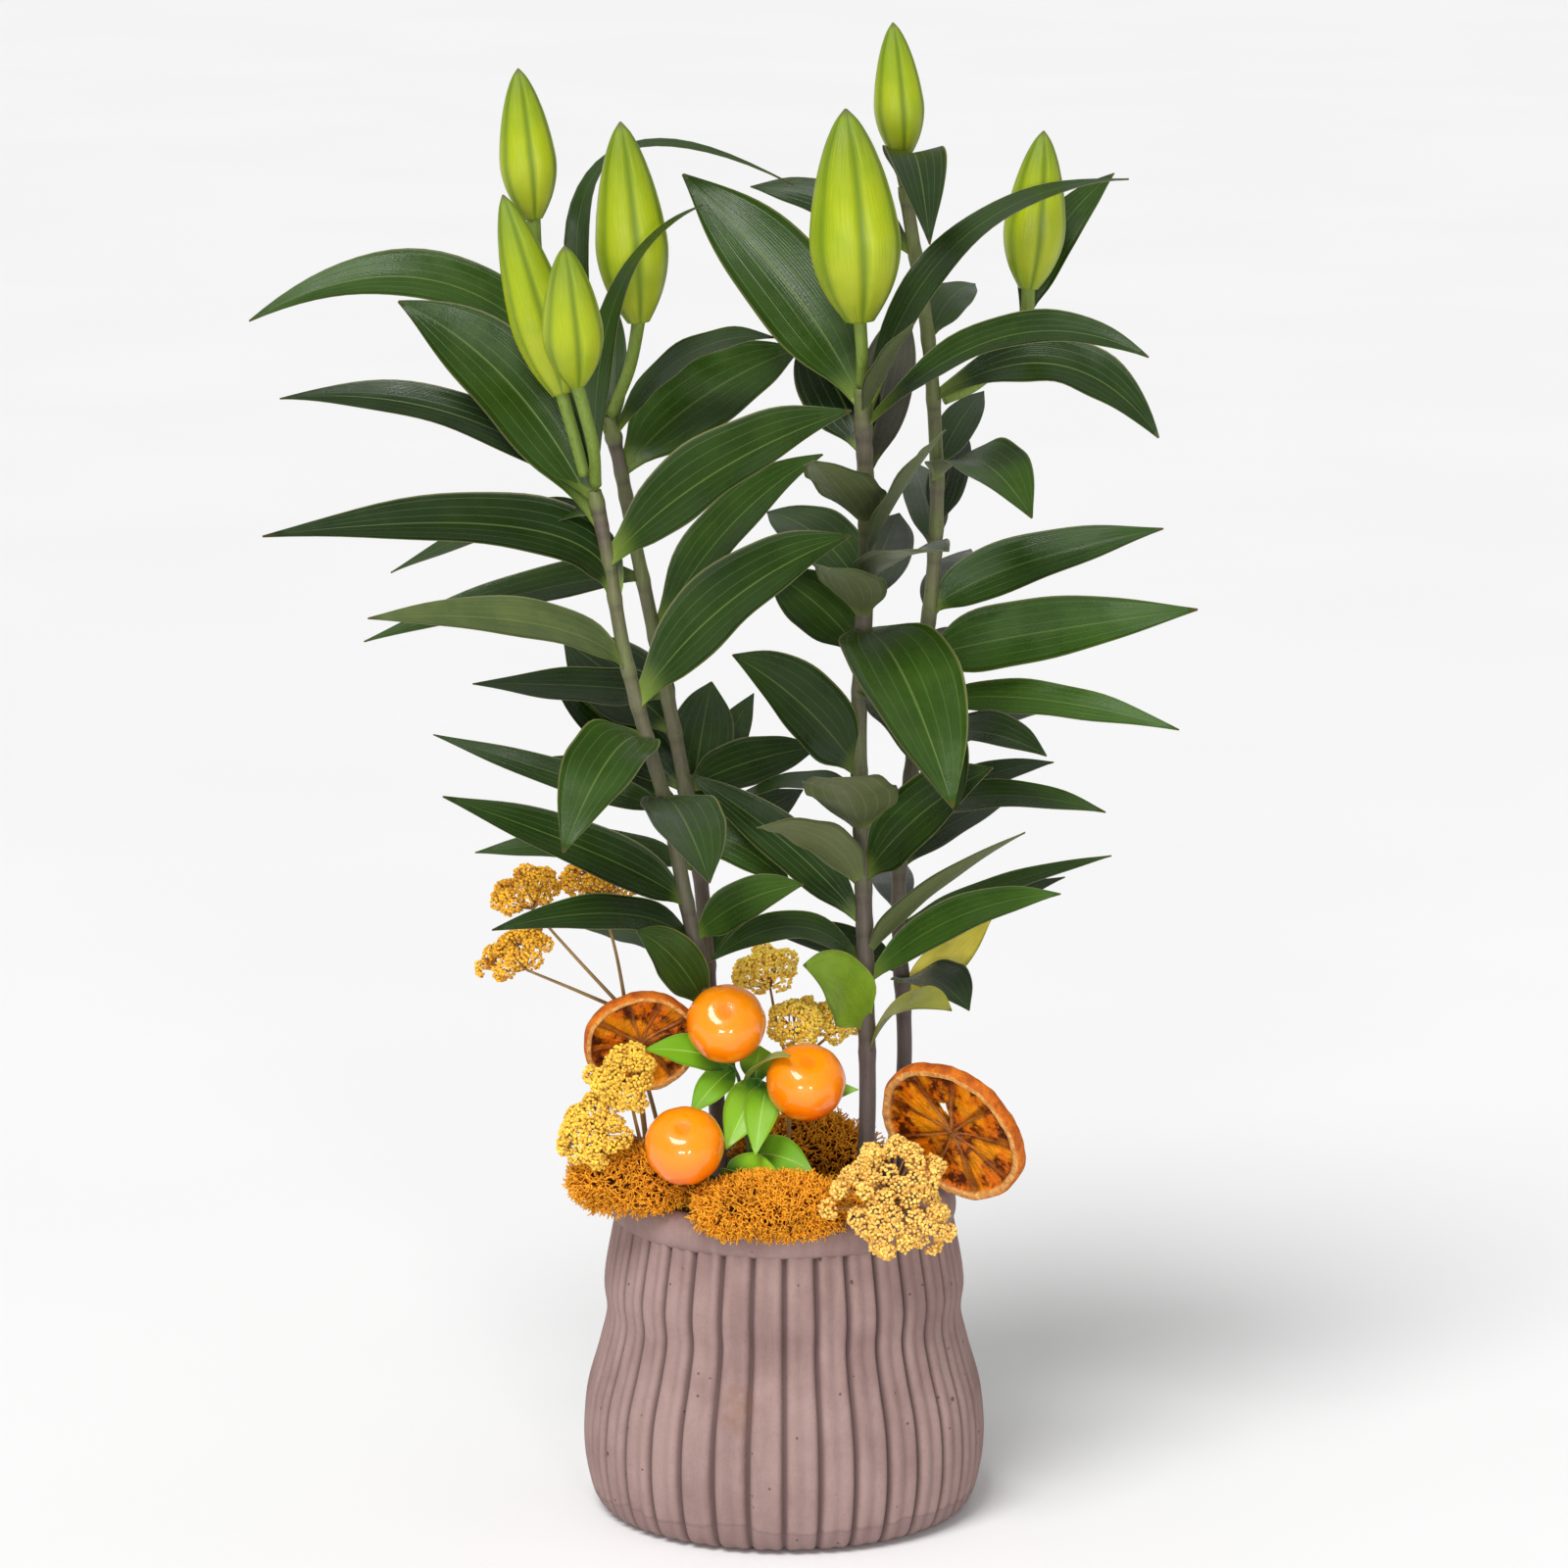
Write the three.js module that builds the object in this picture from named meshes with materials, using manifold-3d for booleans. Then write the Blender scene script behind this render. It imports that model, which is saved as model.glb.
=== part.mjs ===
// A potted lily in closed bud, in a fluted pot of matt concrete.
// Millimetres, +Z up. X runs to the right and Y away from the front.
// The origin is the middle of the pot's foot.
import * as THREE from 'three';
import { mergeVertices } from 'three/addons/utils/BufferGeometryUtils.js';
import Module from 'manifold-3d';

const wasm = await Module();
wasm.setup();

// Driving dimensions
const GAP = 0.35;
const FLUTES = 34;
const GROOVE_DEPTH = 3.3;
const DIP_DEPTH = 0.7;
const ROUND_SIDES = 20;
const SOIL_TOP = 126;
const BULB_RADIUS = 19;
const BULB_FOOT = 40;
const LEAF_THICKNESS = 0.9;
const SMALL_THICKNESS = 0.7;
const LEAN = 0.12;
const FOLDED_WIDTH = 23;
const BLADE_FOLD = 0.13;
const FRUIT_RADIUS = 16.6;
const WIRE_RADIUS = 0.8;
const WIRE_END = 8;
const PICK_RADIUS = 1.2;
const TWIG_RADIUS = 0.9;
const STALK_RADIUS = 2.5;
const STALK_SWELL = 0.7;
const BULB_HEIGHT = 34;
const BULB_SIDES = 6;
const SLICE_SEGMENTS = 9;
const MOSS_CLEAR = 1;

// Outline of a blade as share of its length and of its width: a lily leaf, and a small leaf of the sprig
const BLADE_ROWS = [[0, 0.17], [0.22, 0.78], [0.48, 1], [0.8, 0.64], [1, 0.05]];
const SMALL_ROWS = [[0, 0.3], [0.3, 0.95], [0.68, 0.9], [1, 0.06]];

// Outline of a bud as share of its length and of its width, and how far each side of a lobe stands out
const BUD_ROWS = [[0, 0.32], [0.1, 0.6], [0.36, 1.02], [0.6, 0.9], [0.87, 0.46], [1, 0.07]];
const BUD_LOBES = [0.86, 1, 1];

// Face of an orange slice as share of its radius and height above its middle plane, from the middle out
const SLICE_ROWS = [[0.12, 1.4], [0.8, 1.3], [0.87, 2.9], [0.98, 3.4]];
const SLICE_WALL = 0.7;

// Outer profile of the pot as radius and height: the fluted body, and the plain rolled lip above it
const POT_BODY = [[71, 0], [80, 6], [84.7, 26], [83.8, 50], [78, 72], [75, 86], [76, 101], [71.5, 127]];
const POT_LIP = [[68, 124], [71.4, 129], [72, 134.5], [70, 139.5], [66.5, 141.5]];

// Inner profile of the pot, which the soil fills
const POT_INSIDE = [[60, 7], [72, 18], [75, 44], [69, 70], [65, 126]];
const MOUTH_RADIUS = 64.5;

// Top of the soil as radius and height, gently heaped
const HEAP = [[45, SOIL_TOP + 1.5], [20, SOIL_TOP + 3], [0, SOIL_TOP + 3.5]];

// Middle line of each stem, from the bulb to the top, with its radius at the soil and at the top
const STEMS = {
  a: {
    foot: 3.4,
    top: 2.8,
    line: [[-28, -20, 66], [-28, -20, 126], [-28, -18, 180], [-34, -18, 230], [-40, -18, 262],
      [-48, -19, 303], [-57, -20, 336], [-66, -21, 372], [-72, -22, 408], [-78, -23, 440]],
  },
  b: {
    foot: 3.4,
    top: 2.8,
    line: [[-27, 26, 66], [-27, 26, 126], [-30, 23, 190], [-35, 22, 265], [-42, 22, 309], [-54, 22, 370],
      [-63, 22, 414], [-68, 22, 441], [-73, 22, 464]],
  },
  c: {
    foot: 3.6,
    top: 3.3,
    line: [[32, -22, 66], [32, -20, 126], [35, -14, 174], [34, -14, 237], [33, -15, 276], [31, -16, 336],
      [33, -17, 386], [34, -18, 427], [32, -20, 482]],
  },
  d: {
    foot: 3.3,
    top: 2.8,
    line: [[40, 27, 66], [44, 26, 126], [51, 26, 184], [49, 27, 239], [49, 28, 272], [55, 29, 323],
      [62, 30, 390], [64, 30, 425], [63, 30, 460], [60, 30, 496], [55, 30, 528], [50, 30, 559]],
  },
};

// Leaves of each stem: the height of the root on the stem, the tip, the width, how far the middle arches
// up, the roll about the leaf's length in degrees, and the lean of the arch towards the root
const LEAVES = {
  a: [
    // To the left, from the top down
    { root: 425, tip: [-159, 0, 515], width: 36, arch: 17, roll: 48 },
    { root: 435, tip: [-209, 10, 473], width: 24, arch: 17, roll: 30 },
    { root: 430, tip: [-164, 15, 399], width: 20, arch: 7, roll: 30, lean: 0.2 },
    { root: 395, tip: [-212, -60, 427], width: 32, arch: 22, roll: 40, lean: 0.5 },
    { root: 365, tip: [-169, -70, 395], width: 23, arch: 11, roll: 35, lean: 0.3 },
    { root: 305, tip: [-147, 15, 330], width: 16, arch: 0, roll: 40, lean: 0.3 },
    { root: 265, tip: [-140, -55, 318], width: 24, arch: 4, roll: 45, lean: 0.3 },
    { root: 245, tip: [-120, -60, 263], width: 22, arch: 12, roll: 30, lean: 0.3 },
    { root: 220, tip: [-61, -44, 259], width: 21, arch: 6, roll: 65 },
    // To the front
    { root: 335, tip: [-90, -80, 300], width: 34, arch: 13, roll: 30 },
    { root: 310, tip: [-30, -115, 295], width: 32, arch: 6, roll: 10 },
    // To the right
    { root: 435, tip: [-33, -40, 560], width: 13, arch: 60, roll: 20, lean: 0.65 },
    { root: 410, tip: [27, -75, 481], width: 37, arch: 9, roll: 45 },
    { root: 350, tip: [27, -70, 429], width: 36, arch: 12, roll: 45 },
    { root: 250, tip: [8, -50, 280], width: 20, arch: 5, roll: 55 },
  ],
  b: [
    // To the left and the back, from the top down
    { root: 455, tip: [-222, 20, 504], width: 27, arch: 42, roll: 45 },
    { root: 455, tip: [-70, 55, 505], width: 10, arch: 4, roll: 20 },
    { root: 395, tip: [-177, 40, 365], width: 24, arch: 5, roll: 30, lean: 0.3 },
    { root: 345, tip: [-132, 55, 344], width: 22, arch: 2, roll: 40, lean: 0.3 },
    { root: 330, tip: [-94, 85, 357], width: 34, arch: 2, roll: 60 },
    { root: 305, tip: [-100, 60, 348], width: 26, arch: 0, roll: 50 },
    { root: 290, tip: [-115, 50, 309], width: 17, arch: 10, roll: 30 },
    { root: 270, tip: [-131, 40, 274], width: 19, arch: 7, roll: 30 },
    { root: 230, tip: [-88, 75, 234], width: 18, arch: 4, roll: 30 },
    // Bowed to the left, then over to the right behind the buds
    { root: 430, tip: [4, 10, 562], width: 11, arch: 158, roll: 20, lean: 1.4 },
    // To the right
    { root: 455, tip: [-4, 0, 500], width: 22, arch: 15, roll: 25 },
    { root: 440, tip: [7, 60, 487], width: 36, arch: 8, roll: 45 },
    { root: 370, tip: [16, -5, 452], width: 28, arch: 12, roll: 35 },
    { root: 305, tip: [15, 55, 317], width: 22, arch: 3, roll: 60 },
    { root: 295, tip: [-31, 80, 340], width: 28, arch: 4, roll: 60 },
    { root: 295, tip: [-13, 85, 334], width: 18, arch: 2, roll: 60 },
    { root: 285, tip: [3, 5, 267], width: 20, arch: 6, roll: 50 },
    { root: 275, tip: [8, 65, 296], width: 22, arch: 3, roll: 55 },
    { root: 230, tip: [-11, 55, 246], width: 16, arch: 3, roll: 55 },
  ],
  c: [
    // To the left, from the top down
    { root: 475, tip: [-42, 30, 564], width: 38, arch: 10, roll: 60, lean: 0.2 },
    { root: 455, tip: [8, 22, 498], width: 32, arch: 4, roll: 60 },
    { root: 395, tip: [-7, 60, 417], width: 27, arch: 8, roll: 55 },
    { root: 370, tip: [-5, 30, 396], width: 28, arch: 4, roll: 55 },
    { root: 320, tip: [-21, -60, 378], width: 32, arch: 6, roll: 55 },
    { root: 310, tip: [-30, 40, 292], width: 16, arch: 9, roll: 20 },
    { root: 270, tip: [-11, -60, 306], width: 24, arch: 9, roll: -35 },
    { root: 255, tip: [-40, 10, 314], width: 22, arch: 6, roll: 50 },
    { root: 235, tip: [-31, -45, 246], width: 21, arch: 17, roll: 30 },
    { root: 210, tip: [8, -55, 247], width: 27, arch: 6, roll: 60 },
    // To the front
    { root: 425, tip: [12, -90, 463], width: 30, arch: 2, roll: 5 },
    { root: 410, tip: [65, -80, 474], width: 30, arch: 4, roll: 35 },
    { root: 400, tip: [66, -100, 428], width: 30, arch: 5, roll: 10 },
    { root: 385, tip: [18, -100, 421], width: 28, arch: 5, roll: 8 },
    { root: 380, tip: [68, -105, 324], width: 46, arch: 14, roll: 12 },
    { root: 355, tip: [70, -75, 316], width: 32, arch: 14, roll: 20, lean: -0.25 },
    { root: 295, tip: [20, -110, 337], width: 38, arch: 4, roll: 5 },
    // To the right and the back
    { root: 465, tip: [143, 30, 562], width: 21, arch: 40, roll: 15, lean: 0.3 },
    { root: 465, tip: [147, -70, 502], width: 24, arch: 23, roll: 30, lean: 0 },
    { root: 470, tip: [53, -60, 515], width: 17, arch: 5, roll: 20 },
    { root: 445, tip: [51, 75, 502], width: 24, arch: 4, roll: 60 },
    { root: 390, tip: [49, 80, 413], width: 26, arch: 3, roll: 50 },
    { root: 275, tip: [85, -70, 333], width: 30, arch: 6, roll: 50 },
    { root: 240, tip: [99, -55, 303], width: 15, arch: 8, roll: -20, lean: 0.3 },
    { root: 230, tip: [114, -50, 276], width: 20, arch: 10, roll: 42 },
    { root: 200, tip: [69, -60, 229], width: 22, arch: 12, roll: 30 },
  ],
  d: [
    // Round the top bud and to the left
    { root: 555, tip: [59, -48, 545], width: 25, arch: 24, roll: 10, lean: 0.25 },
    { root: 530, tip: [-14, 45, 557], width: 20, arch: 8, roll: 45 },
    { root: 225, tip: [-8, 60, 236], width: 17, arch: 5, roll: 45 },
    // To the right, from the top down
    { root: 470, tip: [156, 20, 455], width: 30, arch: 23, roll: 30, lean: -0.1 },
    { root: 435, tip: [101, -50, 433], width: 34, arch: 15, roll: 25 },
    { root: 380, tip: [159, 30, 415], width: 25, arch: 6, roll: 50, lean: 0.3 },
    { root: 360, tip: [172, 0, 386], width: 30, arch: 2, roll: 55, lean: 0.3 },
    { root: 340, tip: [164, -15, 338], width: 19, arch: 7, roll: 42 },
    { root: 320, tip: [108, -40, 332], width: 26, arch: 9, roll: 30 },
    { root: 290, tip: [134, -10, 302], width: 20, arch: 9, roll: 30 },
    { root: 245, tip: [138, 20, 277], width: 12, arch: 3, roll: 30 },
    { root: 220, tip: [77, -30, 222], width: 28, arch: 7, roll: 25 },
    // To the back
    { root: 495, tip: [81, 90, 510], width: 18, arch: 6, roll: 50 },
    { root: 440, tip: [85, 90, 464], width: 16, arch: 4, roll: 60 },
    { root: 415, tip: [77, 95, 447], width: 17, arch: 4, roll: 50 },
    { root: 405, tip: [55, 135, 427], width: 18, arch: 6, roll: 20 },
    { root: 375, tip: [81, 135, 388], width: 18, arch: 6, roll: 20 },
    { root: 355, tip: [77, 90, 361], width: 16, arch: 3, roll: 50 },
    { root: 310, tip: [112, 80, 327], width: 13, arch: 7, roll: 20 },
    { root: 285, tip: [115, 65, 308], width: 16, arch: 8, roll: 40 },
    { root: 270, tip: [96, 80, 288], width: 15, arch: 5, roll: 40 },
    { root: 250, tip: [43, 130, 250], width: 18, arch: 6, roll: 20 },
    { root: 235, tip: [120, 60, 259], width: 15, arch: 3, roll: 35 },
    { root: 210, tip: [88, 40, 245], width: 17, arch: 2, roll: 70 },
  ],
};

// Closed buds: the pedicel's line from the stem to the bud's base, the bud's tip and width; one has a bract
const BUDS = {
  bud_a_left: {
    stalk: [[-82, -22, 446], [-86, -23, 462], [-91, -25, 480]],
    tip: [-115, -14, 561],
    width: 25,
  },
  bud_a_right: {
    stalk: [[-77.3, -25.8, 443], [-78, -42, 462], [-84, -54, 489]],
    tip: [-88, -76, 548],
    width: 25,
  },
  bud_b_left: {
    stalk: [[-76, 19.6, 468.2], [-92, 9, 500], [-101, 3, 527], [-103, 2, 549]],
    tip: [-109, 2, 611],
    width: 23.5,
  },
  bud_b_right: {
    stalk: [[-71.8, 20.4, 465.2], [-64, 8, 486], [-60, -3, 507]],
    tip: [-67, -6, 590],
    width: 30,
  },
  bud_c: {
    stalk: [[32, -20.8, 483.3], [32, -27, 496], [31, -30, 511]],
    tip: [25, -30, 598],
    width: 37.5,
  },
  bud_d_top: {
    stalk: [[50, 30, 559.5], [49, 30, 565], [49, 30, 571]],
    tip: [45, 30, 627],
    width: 21,
  },
  bud_d_right: {
    stalk: [[66.6, 31.5, 469.5], [80, 36, 475], [93, 39, 487], [101, 40, 503], [102, 40, 515]],
    tip: [108, 40, 581],
    width: 26,
    bract: { root: [100, 41, 499], tip: [139, 75, 559], width: 18, arch: 15, roll: 60, lean: 0.35 },
  },
};

// Mandarins on wires: middle, and the way that the dimple faces
const MANDARINS = {
  mandarin_top: { centre: [-24, -42, 219], facing: [0, -0.8, 0.585] },
  mandarin_right: { centre: [9, -46, 195], facing: [0.07, -0.63, 0.77] },
  mandarin_low: { centre: [-41, -66, 173], facing: [-0.05, -0.68, 0.73] },
};

// Wires of the mandarin sprig, from the soil to each fruit, and its leaves
const SPRIG_FOOT = [-14, -34, 96];
const SPRIG_WIRES = [
  { line: [SPRIG_FOOT, [-14, -33, 150], [-18, -30, 188], [-21, -27, 197]], fruit: 'mandarin_top' },
  { line: [[-17.5, -30, 186], [-9, -31, 190], [0, -29, 181]], fruit: 'mandarin_right' },
  { line: [[-14, -33, 142], [-24, -42, 150], [-34, -50, 158]], fruit: 'mandarin_low' },
];
const SPRIG_LEAVES = [
  { root: [-21, -28, 197], tip: [-58, -42, 208], width: 13, arch: 3, roll: 50 },
  { root: [-21, -28, 196], tip: [-39, -46, 181], width: 11, arch: 2, roll: 60 },
  { root: [-18, -30, 188], tip: [3, -62, 210], width: 9, arch: 5, roll: 30 },
  { root: [-9, -31, 192], tip: [-24, -52, 168], width: 15, arch: 2, roll: 60 },
  { root: [-7, -32, 190], tip: [-12, -56, 166], width: 12, arch: 3, roll: 60 },
  { root: [-24, -42, 150], tip: [-3, -56, 160], width: 13, arch: 3, roll: 60 },
  { root: [-21, -39.3, 148], tip: [-20, -62, 161], width: 10, arch: 3, roll: 40 },
  { root: [-15, -32.2, 160], tip: [12, -50, 158], width: 14, arch: 3, roll: 60 },
  { root: [-12, -31, 191], tip: [-10, -19, 204], width: 12, arch: 2, roll: 20 },
  { root: [1, -30, 181], tip: [31, -34, 189], width: 10, arch: 2, roll: 50 },
];

// Dried orange slices, each on a pick: middle, the way its face looks, radius, and the pick's two ends
const SLICES = {
  left: {
    centre: [-59.5, -27, 208],
    facing: [0.15, -0.93, -0.33],
    radius: 24,
    pick: [[-50, -22, 96], [-60.5, -19.7, 186.6]],
  },
  right: {
    centre: [70.5, -42, 173.5],
    facing: [-0.53, -0.73, -0.42],
    radius: 34,
    pick: [[53, -18, 96], [52.5, -22, 159.5]],
  },
};

// Yarrow sprays: a stem from the soil with a branch to each head; each head's middle, facing and half sizes
const YARROW = {
  left: { look: 'yarrow', stem: [[-45, 2, 96], [-50, 0, 150], [-66, -4, 215]], heads: [
    { centre: [-111, -14, 242], facing: [-0.5, -0.2, 1], size: [16, 8] },
    { centre: [-107, -8, 267], facing: [-0.3, -0.1, 1], size: [14.5, 8] },
    { centre: [-76, -2, 271], facing: [0, -0.1, 1], size: [18, 9.5] },
  ] },
  front: { look: 'yarrow', stem: [[-48, -30, 96], [-52, -34, 142], [-60, -42, 170]], heads: [
    { centre: [-66, -51, 198], facing: [-0.2, -0.9, 0.7], size: [14, 10] },
    { centre: [-79, -49, 175], facing: [-0.6, -0.9, 0.5], size: [15, 10] },
  ] },
  middle: { look: 'yarrow', stem: [[2, 8, 96], [2, 8, 150], [2, 6, 190]], heads: [
    { centre: [-8, 6, 230], facing: [-0.3, -0.3, 1], size: [14, 8] },
    { centre: [5, -9, 211], facing: [0, -0.8, 0.8], size: [11, 9] },
    { centre: [21, 3, 209], facing: [0.3, -0.5, 1], size: [9, 8] },
  ] },
  rim: { look: 'yarrow_pale', stem: [[24, -40, 96], [25, -42, 140], [36, -54, 156]], heads: [
    { centre: [45, -77, 154], facing: [0.1, -0.9, 0.4], size: [27, 12] },
  ] },
};

// Lumps of lacy moss on the soil: middle and half sizes
const MOSS = {
  moss_left: { centre: [-62, -40, 152], size: [30, 20, 14], seed: 5 },
  moss_front: { centre: [-6, -65, 146], size: [37, 16, 13], seed: 8 },
  moss_right: { centre: [26, -46, 138], size: [17, 11, 14], seed: 12 },
  moss_back: { centre: [10, 40, 142], size: [36, 15, 18], seed: 15 },
};

// Colour and roughness of each look
const LOOKS = {
  pot: ['#a4867f', 0.9],
  soil: ['#3a2a20', 1],
  plant: ['#3c5a24', 0.45],
  bud: ['#95aa2c', 0.4],
  fruit: ['#f07c12', 0.25],
  sprig: ['#8cab3c', 0.4],
  pick: ['#8a6a44', 0.8],
  slice: ['#c9761d', 0.5],
  moss: ['#cf8428', 1],
  yarrow: ['#c9992f', 0.9],
  yarrow_pale: ['#d8c078', 0.9],
  twig: ['#a98a55', 0.9],
};

// A closed geometry as a solid that can be joined and cut
function solid(geometry) {
  const bare = geometry.clone();
  for (const name of Object.keys(bare.attributes)) {
    if (name !== 'position') bare.deleteAttribute(name);
  }
  const merged = mergeVertices(bare, 1e-4);
  const vertProperties = new Float32Array(merged.attributes.position.array);
  const triVerts = new Uint32Array(merged.index.array);
  return new wasm.Manifold(new wasm.Mesh({ numProp: 3, vertProperties, triVerts }));
}

// A solid back as a geometry
function geometryOf(shape) {
  const mesh = shape.getMesh();
  const geometry = new THREE.BufferGeometry();
  const points = [];
  for (let i = 0; i < mesh.numVert; i += 1) {
    points.push(...mesh.vertProperties.slice(i * mesh.numProp, i * mesh.numProp + 3));
  }
  geometry.setAttribute('position', new THREE.Float32BufferAttribute(points, 3));
  geometry.setIndex(Array.from(mesh.triVerts));
  return geometry;
}

// The largest piece of a solid that a cut may have left in several
function largest(shape) {
  const pieces = shape.decompose();
  pieces.sort((p, q) => q.volume() - p.volume());
  return pieces[0];
}

// Random numbers that are the same each time
function seeded(seed) {
  let state = seed;
  return () => {
    state = (state * 1664525 + 1013904223) % 4294967296;
    return state / 4294967296;
  };
}

function vector(p) {
  return new THREE.Vector3(p[0], p[1], p[2]);
}

// Closed skin over rings of points, each with the same number, and a fan over each end
function skin(rings) {
  const points = rings.flat();
  const count = rings[0].length;
  const index = [];
  for (let k = 0; k + 1 < rings.length; k += 1) {
    for (let j = 0; j < count; j += 1) {
      const a = k * count + j;
      const b = k * count + (j + 1) % count;
      index.push(a, b, b + count, a, b + count, a + count);
    }
  }
  const last = (rings.length - 1) * count;
  for (let j = 1; j + 1 < count; j += 1) {
    index.push(0, j + 1, j);
    index.push(last, last + j, last + j + 1);
  }
  const geometry = new THREE.BufferGeometry();
  geometry.setFromPoints(points);
  geometry.setIndex(index);
  return solid(geometry);
}

// Directions across a line at each of its points, carried along it without twist
function frames(points, firstAcross) {
  const result = [];
  let across = firstAcross.clone();
  for (let i = 0; i < points.length; i += 1) {
    const before = points[Math.max(i - 1, 0)];
    const after = points[Math.min(i + 1, points.length - 1)];
    const along = after.clone().sub(before).normalize();
    across = across.clone().addScaledVector(along, -across.dot(along)).normalize();
    const side = new THREE.Vector3().crossVectors(along, across);
    result.push({ along, across, side });
  }
  return result;
}

// Round rod along a line, with its radius at each point
function rod(points, radii, sides) {
  const directions = frames(points, new THREE.Vector3(0.3, -0.9, 0.2));
  const rings = points.map((point, i) => {
    const ring = [];
    for (let j = 0; j < sides; j += 1) {
      const angle = 2 * Math.PI * j / sides;
      const offset = directions[i].across.clone().multiplyScalar(radii[i] * Math.cos(angle));
      offset.addScaledVector(directions[i].side, radii[i] * Math.sin(angle));
      ring.push(point.clone().add(offset));
    }
    return ring;
  });
  return skin(rings);
}

// The point a little beyond the end of a line
function beyond(from, to, extra) {
  const along = vector(to).sub(vector(from)).normalize();
  return vector(to).addScaledVector(along, extra).toArray();
}

// Straight rod between two points
function straightRod(from, to, radius) {
  return rod([vector(from), vector(to)], [radius, radius], 6);
}

// Solid turned round the Z axis from a profile of radius and height that starts and ends on the axis
function turned(profile, segments) {
  const points = profile.map(([r, z]) => new THREE.Vector2(r, z));
  const geometry = new THREE.LatheGeometry(points, segments);
  geometry.rotateX(Math.PI / 2);
  return solid(geometry);
}

// The pot: a body fluted outside, with two lobes to a flute, a plain lip, and a turned inside
function pot() {
  const across = [0, 0.27, 0.54, 0.79];
  const depth = [GROOVE_DEPTH, 0, DIP_DEPTH, 0];
  const steps = FLUTES * across.length;
  const profile = [[0, 0], ...POT_BODY, [0, POT_BODY.at(-1)[1]]];
  const points = profile.map(([r, z]) => new THREE.Vector2(r, z));
  const body = new THREE.LatheGeometry(points, steps);
  const place = body.attributes.position;
  for (let i = 0; i < place.count; i += 1) {
    const step = Math.floor(i / points.length) % steps;
    const point = points[i % points.length];
    const angle = (Math.floor(step / 4) + across[step % 4]) / FLUTES * 2 * Math.PI;
    const radius = point.x > 0 ? point.x - depth[step % 4] : 0;
    place.setXYZ(i, radius * Math.sin(angle), point.y, radius * Math.cos(angle));
  }
  body.rotateX(Math.PI / 2);
  const top = POT_LIP.at(-1)[1];
  const lip = turned([[0, POT_LIP[0][1]], ...POT_LIP, [0, top]], 1.5 * ROUND_SIDES);
  const inside = [[0, POT_INSIDE[0][1]], ...POT_INSIDE, [MOUTH_RADIUS, top + 1], [0, top + 1]];
  return solid(body).add(lip).subtract(turned(inside, ROUND_SIDES));
}

// Soil that fills the pot up to a little below the lip
function soil(holes) {
  const wall = POT_INSIDE.map(([r, z], i) => [r - GAP, z + (i === 0 ? GAP : 0)]);
  let shape = turned([[0, POT_INSIDE[0][1] + GAP], ...wall, ...HEAP], ROUND_SIDES);
  for (const hole of holes) shape = shape.subtract(hole);
  return largest(shape);
}

// Bare stem with its bulb, or the hole that they stand in when extra is the clearance
function bareStem(stem, extra = 0) {
  const points = stem.line.map(vector);
  const radii = points.map((point) => {
    const share = THREE.MathUtils.clamp((point.z - SOIL_TOP) / (points.at(-1).z - SOIL_TOP), 0, 1);
    return THREE.MathUtils.lerp(stem.foot, stem.top, share) + extra;
  });
  const [x, y] = stem.line[0];
  const low = BULB_FOOT - extra;
  const high = BULB_FOOT + BULB_HEIGHT + 2 * extra;
  const wide = BULB_RADIUS + extra;
  const bulb = turned([[0, low], [0.6 * wide, low], [wide, low + 0.35 * BULB_HEIGHT],
    [wide, high - 0.47 * BULB_HEIGHT], [0.45 * wide, high - 2], [0, high]], BULB_SIDES).translate([x, y, 0]);
  return rod(points, radii, 6).add(bulb);
}

// Bud on its pedicel: three-sided, with a groove down each side, tapered to the tip
function bud({ stalk, tip, width, bract }) {
  const base = vector(stalk.at(-1));
  const end = vector(tip);
  const stalkPoints = stalk.map(vector);
  const points = BUD_ROWS.map(([share]) => base.clone().lerp(end, share));
  const directions = frames(points, new THREE.Vector3(0.2, -1, 0));
  const sides = 3 * BUD_LOBES.length;
  const rings = points.map((point, i) => {
    const ring = [];
    for (let j = 0; j < sides; j += 1) {
      const angle = 2 * Math.PI * j / sides;
      const radius = 0.5 * width * BUD_ROWS[i][1] * BUD_LOBES[j % BUD_LOBES.length];
      const offset = directions[i].across.clone().multiplyScalar(radius * Math.cos(angle));
      offset.addScaledVector(directions[i].side, radius * Math.sin(angle));
      ring.push(point.clone().add(offset));
    }
    return ring;
  });
  stalkPoints.push(points[1]);
  const radii = stalkPoints.map((_, i) => STALK_RADIUS + STALK_SWELL * i / (stalkPoints.length - 1));
  let shape = rod(stalkPoints, radii, 5).add(skin(rings));
  if (bract) shape = shape.add(blade(vector(bract.root), vector(bract.tip), bract));
  return shape;
}

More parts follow.
